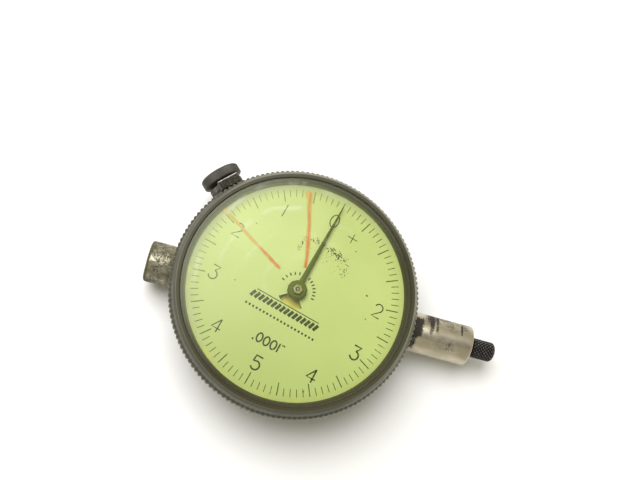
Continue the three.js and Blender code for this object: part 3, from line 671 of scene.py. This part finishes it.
BRASS = brushed("brass", (0.33, 0.25, 0.10), (0.50, 0.39, 0.18))
# Brass painted lighter, for the plate seen through the hub window, to stand for light that
# the dial's recess shades off.
BRASS_PAINTED_LIGHT = worn_oxide("brass_painted_light", (0.66, 0.61, 0.12), (0.74, 0.69, 0.16),
                        (0.85, 0.8, 0.5), 0.8, 0.6, 0.1, 0.2)
STEEL = brushed("steel", (0.28, 0.28, 0.27), (0.46, 0.455, 0.44), 0.3)
RUBY = jewel()
CRYSTAL = crystal_plastic()
CRYSTAL_UNDERSIDE = crystal_underside()


# ---- camera, floor, light (the floor and the lamp in metres)

FLOOR_SIDE = 8
LAMP_PLACE = Vector((0.25, 0.24, 0.77))


def set_camera():
    """Above the dial and toward -X, where the photo has its lower edge."""
    place = Vector((-40.8, 18.4, 215.55))
    target = Vector((12.87, -2.37, DIAL_Z))
    above = Vector((0.9371, 0.2656, 0.2266))
    back = (place - target).normalized()
    right = above.cross(back).normalized()
    up = back.cross(right)
    camera = bpy.data.objects.new("camera", bpy.data.cameras.new("camera"))
    camera.data.sensor_width = 36
    camera.data.lens = 50.6
    camera.data.clip_start = 0.01
    camera.matrix_world = Matrix.Translation(place * MM) @ Matrix(
        (right, up, back)).transposed().to_4x4()
    bpy.context.collection.objects.link(camera)
    bpy.context.scene.camera = camera


def set_floor():
    """A pale sheet under the indicator."""
    half = FLOOR_SIDE / 2
    mesh = bpy.data.meshes.new("floor")
    corners = [(-half, -half, 0), (half, -half, 0), (half, half, 0), (-half, half, 0)]
    mesh.from_pydata(corners, [], [(0, 1, 2, 3)])
    floor = bpy.data.objects.new("floor", mesh)
    look = Look("pale_sheet", 0.7)
    _, colour = look.mottled(60, (0.87, 0.87, 0.86), (0.89, 0.89, 0.88))
    mesh.materials.append(look.finish(colour, 0.7))
    bpy.context.collection.objects.link(floor)


def set_light():
    """A bright warm surround, dimmer straight above, and one large soft lamp."""
    world = bpy.data.worlds.new("studio")
    world.use_nodes = True
    tree = world.node_tree
    background = tree.nodes["Background"]
    direction = tree.nodes.new("ShaderNodeTexCoord")
    split = tree.nodes.new("ShaderNodeSeparateXYZ")
    ramp = tree.nodes.new("ShaderNodeValToRGB")
    stops = [(0.72, (1, 0.955, 0.76, 1)), (0.95, (0.14, 0.13, 0.095, 1))]
    for element, (position, colour) in zip(ramp.color_ramp.elements, stops):
        element.position, element.color = position, colour
    tree.links.new(direction.outputs["Generated"], split.inputs[0])
    tree.links.new(split.outputs["Z"], ramp.inputs[0])
    tree.links.new(ramp.outputs[0], background.inputs["Color"])
    background.inputs["Strength"].default_value = 0.53
    bpy.context.scene.world = world
    light = bpy.data.lights.new("key", "AREA")
    light.shape = "DISK"
    light.size = 0.74
    light.energy = 9.3
    light.color = (1, 1, 1.02)
    lamp = bpy.data.objects.new("key", light)
    lamp.location = LAMP_PLACE
    lamp.rotation_euler = (-LAMP_PLACE).to_track_quat("-Z", "Y").to_euler()
    bpy.context.collection.objects.link(lamp)
    bpy.context.scene.view_settings.view_transform = "Standard"


set_camera()
set_floor()
set_light()


# ---- bezel

def make_bezel():
    """A knurled ring with a ledge under the crystal and a sill over the dial's edge."""
    sill = DIAL_Z + 0.1
    outline = [
        (26.75, 14.5), (28.3, 14.5), (BEZEL_RADIUS, 14.8), (BEZEL_RADIUS, 17.05),
        (28.25, 17.4), (27.9, 17.55), (27.55, 19.3), (27.1, RIM_Z), (26.8, RIM_Z),
        (26.05, 19.75), (26.0, 19.2), (25.5, 19.1), (24.75, sill), (25.95, sill),
        (25.95, 15.9), (26.75, 15.9), (26.75, RING_GROOVE_HIGH), (27.1, RING_GROOVE_HIGH),
        (27.1, RING_GROOVE_LOW), (26.75, RING_GROOVE_LOW),
    ]
    teeth = ribbed(KNURL_TEETH, 0.42, 27.95, fade=0.4)
    shape = turned(outline, 0.22, 3, KNURL_TEETH * 6, ring=True, warp=teeth)
    piece("bezel_ring", shape, "bezel", BEZEL_OXIDE_PAINTED_LIGHT, ["bezel"], sharp=50)


# ---- crystal

def make_crystal():
    """A shallow dome, with its own material on the side that faces the dial."""
    edge, top_edge, thickness, foot = 25.4, 20.0, 1.0, 19.25
    crown = extent("crystal")[1].z - top_edge
    dome = [(r, top_edge + crown * (1 - (r / edge) ** 2)) for r in spread(0, edge, 24)]
    under = [(r, max(z - thickness, foot)) for r, z in dome]
    profile = under + [(25.85, foot), (25.88, 19.9)] + dome[::-1]
    crystal = piece("crystal_dome", lathe(profile, 160), "bezel", CRYSTAL,
                    ["crystal"], sharp=60)
    crystal.data.materials.append(CRYSTAL_UNDERSIDE)
    for face in crystal.data.polygons:
        if face.normal.z < -0.5:
            face.material_index = 1


# ---- dial and its print

def make_dial():
    """The disc with its hub window: a sector below the hub, in the dial's own frame."""
    columns, hub_hole, window = 240, 1.5, 4.2
    radii = [hub_hole, 2.0, 2.8, 3.6, window, 5, 8, 14, 20, DIAL_RADIUS - 0.05]
    verts, faces, layers = [], [], []
    for z in (DIAL_Z, DIAL_LOW.z):
        layers.append([])
        for r in radii:
            layers[-1].append(range(len(verts), len(verts) + columns))
            verts.extend((*polar(r, 2 * math.pi * i / columns), z) for i in range(columns))
    upper, lower = layers
    last = len(radii) - 1

    def is_open(ring, column):
        """The window is an eighth of a turn to each side of straight down."""
        below = abs(column + 0.5 - columns * 3 / 4) < columns / 8
        return ring < 0 or below and radii[ring] < window

    def wall(first, column, second, after):
        """A face from the front to the back."""
        faces.append([upper[first][column], upper[second][after],
                      lower[second][after], lower[first][column]])

    for ring in range(last):
        for column, after in around(columns):
            if is_open(ring, column):
                continue
            for grid in layers:
                faces.append([grid[ring][column], grid[ring][after],
                              grid[ring + 1][after], grid[ring + 1][column]])
            if is_open(ring - 1, column):
                wall(ring, column, ring, after)
            for neighbour, edge in ((after, after), ((column - 1) % columns, column)):
                if is_open(ring, neighbour):
                    wall(ring, edge, ring + 1, edge)
            if ring == last - 1:
                wall(last, column, last, after)
    piece("dial_disc", moved((verts, faces), ON_DIAL), "bezel", DIAL_PAINT_AND_SHADE,
          ["dial"])


def stroke(points, width, z=0.0, taper=None):
    """A flat stroke along points: one closed strip with square ends."""
    pts = [Vector(point) for point in points]
    last = len(pts) - 1
    left, right = [], []
    for i, point in enumerate(pts):
        along = (pts[min(i + 1, last)] - pts[max(i - 1, 0)]).normalized()
        across = Vector((-along.y, along.x))
        half = width / 2 * (taper(i / last) if taper else 1)
        left.append(point + across * half)
        right.append(point - across * half)
    tops = [[i, i + 1, 2 * last - i, 2 * last + 1 - i] for i in range(last)]
    return prism(left + right[::-1], z + PRINT_THICKNESS, z, tops)


def ray(angle, inner, outer, width):
    """A stroke outward from the dial's middle."""
    return stroke([polar(inner, angle), polar(outer, angle)], width)


def arc(cx, cy, rx, ry, start, end, steps):
    """Points on an ellipse between two angles in degrees."""
    return [(cx + rx * math.cos(angle), cy + ry * math.sin(angle))
            for angle in spread(math.radians(start), math.radians(end), steps)]


# Engraver's single-stroke figures in a box 0.62 wide and 1 high, centred on the origin.
FIGURES = {
    "0": [arc(0, 0, 0.31, 0.5, 0, 360, 28)],
    "1": [[(0, -0.5), (0, 0.5)]],
    "2": [arc(0, 0.2, 0.3, 0.3, 165, -35, 12) + [(-0.3, -0.5), (0.33, -0.5)]],
    "3": [[(-0.28, 0.5), (0.28, 0.5), (0.0, 0.12)]
          + arc(0, -0.19, 0.31, 0.31, 80, -160, 14)],
    "4": [[(0.14, -0.5), (0.14, 0.5)], [(0.14, 0.48), (-0.33, -0.22), (0.36, -0.22)]],
    "5": [[(0.28, 0.5), (-0.22, 0.5), (-0.26, 0.06)]
          + arc(0, -0.18, 0.31, 0.32, 125, -150, 14)],
    ".": [arc(0, -0.46, 0.03, 0.03, 0, 360, 8)],
    '"': [[(-0.08, 0.55), (-0.08, 0.36)], [(0.08, 0.55), (0.08, 0.36)]],
    "+": [[(-0.4, 0), (0.4, 0)], [(0, -0.4), (0, 0.4)]],
}


def figure(character, centre, height, width):
    """The strokes of one character."""
    x, y = centre
    return [stroke([(x + px * height, y + py * height) for px, py in path], width)
            for path in FIGURES[character]]


def scale_print():
    """The graduations, with a long one at every fifth, and the plus sign."""
    strokes = []
    outer, long_mark, short_mark = 23.7, (20.85, 0.24), (21.95, 0.17)
    for i in range(GRADUATIONS):
        inner, width = short_mark if i % 5 else long_mark
        angle = math.pi / 2 - 2 * math.pi * i / GRADUATIONS
        strokes.append(ray(angle, inner, outer, width))
    return strokes + figure("+", (5.4, 17.2), 3.0, 0.2)


def figure_print():
    """The figures 0 to 5 and back, some finer than others, and the graduation's value."""
    strokes = []
    fine, bold, height = 0.27, 0.38, 3.15
    places = [
        ("0", (-0.15, 18.7), fine), ("2", (18.3, 5.3), fine),
        ("3", (18.25, -5.7), bold), ("4", (12.05, -14.85), bold),
        ("5", (0.0, -18.5), bold), ("4", (-11.6, -15.5), fine),
        ("3", (-18.1, -5.6), fine), ("2", (-18.3, 5.6), fine), ("1", (-11.3, 15.0), fine),
    ]
    for value, centre, width in places:
        strokes.extend(figure(value, centre, height, width))
    for character, x in zip('.0001"', (-3.35, -2.1, -0.35, 1.4, 2.65, 3.5)):
        strokes.extend(figure(character, (x, -13.25), 2.05, 0.36))
    return strokes


def bar_print():
    """A hatched bar between rules in place of a nameplate, and dashes round the hub."""
    strokes = [stroke([(-7.9, -4.0), (7.9, -4.0)], 0.2)]
    strokes += [stroke([(x - 0.25, -6.0), (x + 0.35, -4.5)], 0.72)
                for x in spread(-8.3, 7.7, 15)]
    strokes += [stroke([(x - 0.22, -7.85), (x + 0.22, -7.85)], 0.5)
                for x in spread(-8.6, 8.4, 19)]
    for start, end, gaps in ((168, 108, 4), (72, 2, 6)):
        strokes += [ray(math.radians(angle), 3.65, 4.35, 0.3)
                    for angle in spread(start, end, gaps)]
    return strokes


def fleck(centre, size, seed):
    """A small ragged spot of dirt."""
    chance = random.Random(seed)
    corners, flattened = 9, 1.3
    outline = []
    for i in range(corners):
        x, y = polar(size * chance.uniform(0.45, 1.0), 2 * math.pi * i / corners)
        outline.append((centre[0] + x * flattened, centre[1] + y))
    return prism(outline, PRINT_THICKNESS, 0)


def dirt_print():
    """Loose specks on the dial, more of them in a worn patch above the hub."""
    spots = [((14.5, 7.1), 0.26), ((7.5, 14.9), 0.18), ((12.1, -18.9), 0.2),
             ((-13.2, -4.8), 0.2), ((9.6, -23.1), 0.45), ((16.7, 2.2), 0.16),
             ((-15.5, 9.0), 0.18)]
    shapes = [fleck(centre, size, i) for i, (centre, size) in enumerate(spots)]
    chance = random.Random(5)
    clusters = [((3.4, 12.1), 2.0, 0.6, 64, 0.19), ((5.4, 11.2), 1.4, 0.6, 26, 0.19),
                ((-1.2, 12.4), 1.8, 0.7, 40, 0.16), ((7.2, 9.0), 0.8, 1.5, 30, 0.15),
                ((-4.2, 10.2), 0.4, 1.9, 34, 0.15), ((1.5, 10.0), 3.6, 2.2, 50, 0.11)]
    for (cx, cy), wide, high, count, size in clusters:
        for i in range(count):
            centre = (chance.gauss(cx, wide * 0.6), chance.gauss(cy, high * 0.6))
            shapes.append(fleck(centre, chance.uniform(0.35, 1) * size, 100 + len(shapes)))
    return shapes


FIRST_MARK = [(-23.6, 8.0), (-21.0, 7.5), (-18.4, 6.6), (-14.5, 5.25), (-12.4, 4.65),
              (-10.4, 4.0), (-8.4, 3.35), (-6.5, 2.8), (-5.7, 2.6)]
SECOND_MARK = [(-8.3, 21.9), (-7.6, 20.3), (-6.9, 18.6), (-5.9, 16.8), (-4.95, 15.1),
               (-3.9, 12.8), (-2.85, 10.6), (-1.75, 8.1), (-0.85, 5.6)]
SECOND_FORK = [(-9.2, 21.6), (-8.6, 20.8), (-7.7, 20.0)]


def red_washes():
    """The thin, spread part of two tolerance marks painted by hand."""
    return [
        stroke(FIRST_MARK, 0.8, taper=lambda t: 0.75 + 0.3 * t + 0.15 * math.sin(23 * t)),
        stroke(SECOND_MARK, 1.05, taper=lambda t: 1.1 - 0.25 * t + 0.1 * math.sin(11 * t)),
        stroke(SECOND_FORK, 0.7, 0.006),
    ]


def red_marks():
    """The thicker paint along the middle of each mark."""
    inner = FIRST_MARK[4:]
    return [
        stroke(inner, 0.85, taper=lambda t: 0.2 + 0.8 * math.sin(math.pi * t) ** 2),
        stroke(SECOND_MARK, 0.62, taper=lambda t: 0.8 + 0.25 * math.sin(19 * t)),
    ]


def make_dial_print():
    """Every layer of print, standing a little off the dial."""
    ink_lift, wash_lift, mark_lift = 0.004, 0.03, 0.055
    printed = [
        ("dial_scale", scale_print(), ink_lift, INK),
        ("dial_figures", figure_print(), ink_lift, BOLD_INK),
        ("dial_bars", bar_print(), ink_lift, BOLD_INK),
        ("dial_dirt", dirt_print(), ink_lift, BOLD_INK),
        ("tolerance_wash", red_washes(), wash_lift, RED_WASH),
        ("tolerance_marks", red_marks(), mark_lift, RED_PAINT),
    ]
    for name, shapes, lift, material in printed:
        shape = moved(joined(*shapes), Matrix.Translation((0, 0, DIAL_Z + lift)) @ ON_DIAL)
        piece(name, shape, "bezel", material, sharp=None)


# ---- pointer

def blade_shape():
    """A long blade with a ridge along its middle."""
    stations = [(1.2, 0.8), (3.4, 0.6), (8.3, 0.52), (12.2, 0.4), (17.5, 0.27),
                (21.5, 0.16), (22.6, 0.09)]
    z = DIAL_Z + 1.05
    verts = []
    for x, half in stations:
        verts.extend([(x, -half, z), (x, 0, z + 0.26), (x, half, z), (x, 0, z - 0.05)])
    return skin(verts, 4)


def make_pointer():
    """A blade on a twelve-sided boss, the hexagonal collet over it, and the arbor."""
    low, high = DIAL_Z + 0.56, DIAL_Z + 1.64
    bore = 0.95
    outline = [(bore, low), (1.9, low), (2.28, low + 0.25), (2.28, low + 0.62),
               (1.75, high), (bore, high)]
    boss = turned(outline, 0.06, 2, 144, ring=True, warp=polygon(12, 2.0))
    blade = moved(blade_shape(), Matrix.Rotation(DIAL_ZERO, 4, "Z"))
    piece("pointer_hand", joined(boss, blade), "pointer", BLADE, ["pointer"],
          sharp=25)
    bore, foot, head = 0.47, DIAL_Z + 0.36, DIAL_Z + 1.8
    barrel = [(bore, foot), (0.86, foot), (0.86, head), (bore, head)]
    hexagon = [(bore, head), (1.0, head), (1.16, head + 0.08), (1.16, head + 0.4),
               (1.02, head + 0.48), (bore, head + 0.48)]
    collet = joined(lathe(barrel, 48, closed=True),
                    turned(hexagon, 0.05, 2, 72, ring=True, warp=polygon(6, 0.9)))
    piece("hex_collet", collet, "pointer", COLLET_BRASS, ["pointer_collet"])
    low, high = extent("center_arbor")
    profile = [(0, low.z), (0.25, low.z), (0.25, 10.6), (0.5, 10.6), (0.5, DIAL_Z - 0.2),
               (0.4, DIAL_Z), (0.4, high.z - 0.12), (0.28, high.z), (0, high.z)]
    piece("long_arbor", turned(profile, 0.06, 2, 32), "pointer", ARBOR_STEEL,
          ["center_arbor"])


# ---- stem and contact

def make_stem():
    """The tube that a holder grips, and the bushing in its mouth."""
    bore, end, inner = 3.3, STEM_LOW.y, STEM_HIGH.y
    outline = [(bore, end + 0.2), (bore + 0.2, end), (STEM_RADIUS - 0.35, end),
               (STEM_RADIUS, end + 0.45), (STEM_RADIUS, inner), (bore, inner)]
    piece("stem_tube", turned(outline, 0.25, 4, 128, ALONG_STEM, ring=True), "case",
          NICKEL, ["stem"])
    low, high = extent("stem_bushing")
    outline = [(2.06, low.y), (3.2, low.y), (3.2, high.y), (2.06, high.y)]
    piece("bottom_bushing", turned(outline, 0.15, 3, 96, ALONG_STEM, ring=True), "case",
          BRASS, ["stem_bushing"])


def make_spindle():
    """The sliding rod, with a socket for the contact's stud."""
    low, high = extent("spindle")
    socket, deep = 1.2, 4
    profile = [(0, low.y + deep), (socket, low.y + deep), (socket, low.y), (1.85, low.y),
               (2.0, low.y + 0.15), (2.0, high.y - 0.2), (1.8, high.y), (0, high.y)]
    piece("spindle_rod", turned(profile, 0.06, 2, 96, ALONG_STEM), "spindle",
          STEEL, ["spindle"])


def make_contact():
    """A barrel with a diamond knurl and a round nose."""
    low, high = extent("contact_point")
    top, tip, radius, chamfer = high.y, low.y, high.x, 0.15
    shoulder = extent("spindle")[0].y - 0.1
    nose = tip + 1.25
    grooves, pitch, depth = 17, 0.86, 0.36

    def diamond(r, angle, y):
        if r < radius - 0.05 or y > shoulder - 0.12:
            return r
        lead = 2 * math.pi * y / (pitch * grooves)
        first = abs(math.sin((angle + lead) * grooves / 2))
        second = abs(math.sin((angle - lead) * grooves / 2))
        return r - depth * (1 - min(1, 1.15 * min(first, second)))

    profile = [(0, top), (1.1, top), (1.1, shoulder), (radius - chamfer, shoulder)]
    profile += [(radius, y) for y in spread(shoulder - chamfer, nose, 72)]
    profile += [(radius * math.cos(a) ** 0.8, nose - (nose - tip) * math.sin(a))
                for a in spread(0, math.pi / 2, 12)[1:-1]]
    profile.append((0, tip))
    piece("knurled_contact", moved(lathe(profile, 240, warp=diamond), ALONG_STEM),
          "spindle", CONTACT_BLACK, ["contact_point"], sharp=60)


def make_cap():
    """The dust cap, hollow for the spindle's upper end."""
    low, high = extent("dust_cap")
    mouth, end, radius, bore = low.y, high.y, high.x, 3.4
    profile = [(0, end - 1.2), (bore, end - 1.2), (bore, mouth), (radius, mouth),
               (radius, end - 0.45), (radius - 0.45, end), (0, end)]
    piece("cap_shell", turned(profile, 0.3, 4, 128, ALONG_STEM), "case",
          CAP_NICKEL, ["dust_cap"])


# ---- return spring

def wire(points, radius):
    """A round wire along points, with flat ends."""
    sides, last = 10, len(points) - 1
    verts = []
    across = Vector((0, 0, 1))
    for i, point in enumerate(points):
        along = (points[min(i + 1, last)] - points[max(i - 1, 0)]).normalized()
        across = (across - along * across.dot(along)).normalized()
        third = along.cross(across)
        for k in range(sides):
            x, y = polar(1, 2 * math.pi * k / sides)
            verts.append(point + radius * (across * x + third * y))
    return skin(verts, sides)


def through(points):
    """Points on a smooth curve through points."""
    curve, steps, last = [], 4, len(points) - 1
    for i in range(last):
        a, b = points[max(i - 1, 0)], points[i]
        c, d = points[i + 1], points[min(i + 2, last)]
        for step in range(steps):
            t = step / steps
            curve.append(0.5 * (2 * b + (c - a) * t + (2 * a - 5 * b + 4 * c - d) * t ** 2
                                + (3 * b - a - 3 * c + d) * t ** 3))
    curve.append(points[-1])
    return curve


def make_spring():
    """A coil from the post to the spindle's pin."""
    x, post_y, _ = middle("spring_post")
    pin_y = middle("spring_pin")[1]
    hook, coil, thickness, turns, neck = 0.78, 1.0, 0.17, 7, 1.8
    hook_steps, turn_steps = 7, 12
    points = [Vector((px, py, SPINDLE_Z))
              for px, py in arc(x, post_y, hook, hook, -180, 90, hook_steps)]
    steps = turns * turn_steps
    coils = arc(x, SPINDLE_Z, coil, coil, 90, 90 + 360 * turns, steps)
    points += [Vector((px, y, pz))
               for (px, pz), y in zip(coils, spread(post_y + neck, pin_y - neck, steps))]
    points += [Vector((x, py, pz))
               for py, pz in arc(pin_y, SPINDLE_Z, hook, -hook, 180, 450, hook_steps)]
    spring = piece("coil_spring", wire(through(points), thickness), None, STEEL,
                   ["return_spring"])
    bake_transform(spring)


# ---- bezel clamp

def bar_along(ridge, base, start, end):
    """A bar on the clamp's axis: its top follows a ridge of (tangent, height) points.

    The clamp's own frame has -X up, Y along the bezel and Z away from its middle.
    """
    outline = [(-height, t) for t, height in ridge]
    return prism(outline + [(-base, ridge[-1][0]), (-base, ridge[0][0])], start, end)


def make_clamp():
    """The thumb screw, and the shoe that it presses onto the bezel."""
    start, end, radius, shank = 31.5, 34.2, 4.8, 1.45
    profile = [(0, 25.0), (shank - 0.2, 25.0), (shank, 25.2), (shank, start), (3.9, start),
               (4.05, start + 0.12), (radius - 0.35, start + 0.12), (radius, start + 0.4),
               (radius, end - 0.45), (radius - 0.35, end - 0.08), (3.6, end), (0, end)]
    knurl = ribbed(120, 0.06, radius - 0.1)
    piece("clamp_knob", turned(profile, 0.1, 2, 360, ALONG_CLAMP, warp=knurl),
          "clamp_screw", SCREW_OXIDE, ["clamp_screw"], sharp=45)
    start, end, radius = 28.2, 31.0, 4.1
    outline = [(CLAMP_BORE, start), (radius - 0.2, start), (radius, start + 0.2),
               (radius, 29.4), (radius - 0.2, 29.5), (radius, 29.65), (radius, 30.8),
               (radius - 0.2, end), (CLAMP_BORE, end)]
    pad = turned(outline, 0.06, 2, 384, ring=True,
                 warp=ribbed(64, 0.14, radius - 0.05, 29.6, 30.9))
    half, top, base, inner = 2.45, 5.98, 3.2, BEZEL_RADIUS + 0.32
    ribs, rib_depth, veneer = 26, 0.14, 0.02
    ridge = [(t, top - rib_depth * (i % 2))
             for i, t in enumerate(spread(-half, half, 2 * ribs))]
    lip = bar_along(ridge, base, inner, end - 0.05)
    edge = bar_along([(t, height + veneer) for t, height in ridge], top - 0.45, end - 0.24,
                     end - veneer)
    piece("worn_edge", moved(edge, ALONG_CLAMP), "clamp_shoe", BARE_EDGE)
    piece("clamp_pad", moved(joined(pad, lip), ALONG_CLAMP), "clamp_shoe",
          SHOE_OXIDE, ["clamp_shoe"], sharp=45)


# ---- case and back

def make_case():
    """The cup that holds the movement, bored for the stem, the cap and the clamp."""
    low, high = extent("case_body")
    bottom, top, bore = low.z, high.z, 24.2
    outline = [(bore, bottom), (CASE_WALL - 0.3, bottom), (CASE_WALL, bottom + 0.3),
               (CASE_WALL, RING_GROOVE_LOW), (25.75, RING_GROOVE_LOW),
               (25.75, RING_GROOVE_HIGH), (CASE_WALL, RING_GROOVE_HIGH), (CASE_WALL, top),
               (bore, top), (bore, 9.4), (19.2, 9.4), (19.2, 8.3), (bore, 8.3)]
    case = piece("case_shell", turned(outline, 0.15, 2, 240, ring=True), "case",
                 ENAMEL, ["case_body"])
    carve(case, moved(rod(STEM_RADIUS + 0.08, -30, -15, 96), ALONG_STEM),
          moved(rod(3.08, 15, 30, 64), ALONG_STEM),
          moved(rod(CLAMP_BORE, 24.6, 29, 48), ALONG_CLAMP))
    boss = [(CLAMP_BORE, 25.6), (4.0, 25.6), (4.0, 27.6), (3.75, 27.9), (CLAMP_BORE, 27.9)]
    piece("clamp_boss", turned(boss, 0.1, 2, 96, ALONG_CLAMP, ring=True), "case",
          ENAMEL)


def make_back():
    """The back cover and its four slotted screws."""
    spigot, plate, edge, top = 24.0, 1.6, 0.5, extent("back_cover")[1].z
    outline = [(0, 0), (CASE_WALL - edge, 0), (CASE_WALL, edge), (CASE_WALL, plate),
               (spigot, plate), (spigot, top), (spigot - 0.8, top), (spigot - 0.8, plate),
               (0, plate)]
    cover = piece("back_plate", turned(outline, 0.15, 3, 240), "case",
                  ENAMEL, ["back_cover"])
    for i in range(4):
        node = f"back_screw_{i + 1}"
        low, high = extent(node)
        here = Matrix.Translation((*middle(node)[:2], 0))
        carve(cover, moved(rod(0.9, -1, 3, 48), here), moved(rod(1.7, -1, 1.0, 64), here))
        head = [(0, low.z), (1.2, low.z), (1.6, low.z + 0.35), (1.6, 0.85), (0.8, 0.85),
                (0.8, high.z - 0.2), (0.6, high.z), (0, high.z)]
        screw = piece(f"cover_screw_{i + 1}", turned(head, 0.08, 2, 48, here), "case",
                      STEEL, [node])
        turn = Matrix.Rotation(math.radians(45 + 90 * i) + 0.6 * i, 4, "Z")
        carve(screw, moved(box_shape((-3, -0.22, -1), (3, 0.22, low.z + 0.4)), here @ turn))


# ---- pieces kept from the frame

def dress_frame():
    """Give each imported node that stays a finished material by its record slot."""
    looks = {"brass": BRASS, "steel": STEEL, "ruby": RUBY, "worn_nickel": NICKEL,
             "bezel_metal": BEZEL_OXIDE_PAINTED_LIGHT, "case_enamel": ENAMEL, "black_steel": CONTACT_BLACK,
             "dial_paint": DIAL_PAINT_AND_SHADE, "crystal": CRYSTAL}
    slots = {row["node"]: row["material_slot"] for row in frame["record"]["subparts"]}
    for name, obj in frame["nodes"].items():
        look = BRASS_PAINTED_LIGHT if name == "upper_plate" else looks[slots[name]]
        for index in range(len(obj.material_slots)):
            obj.material_slots[index].material = look


make_bezel()
make_crystal()
make_dial()
make_dial_print()
make_pointer()
make_stem()
make_spindle()
make_contact()
make_cap()
make_spring()
make_clamp()
make_case()
make_back()
dress_frame()
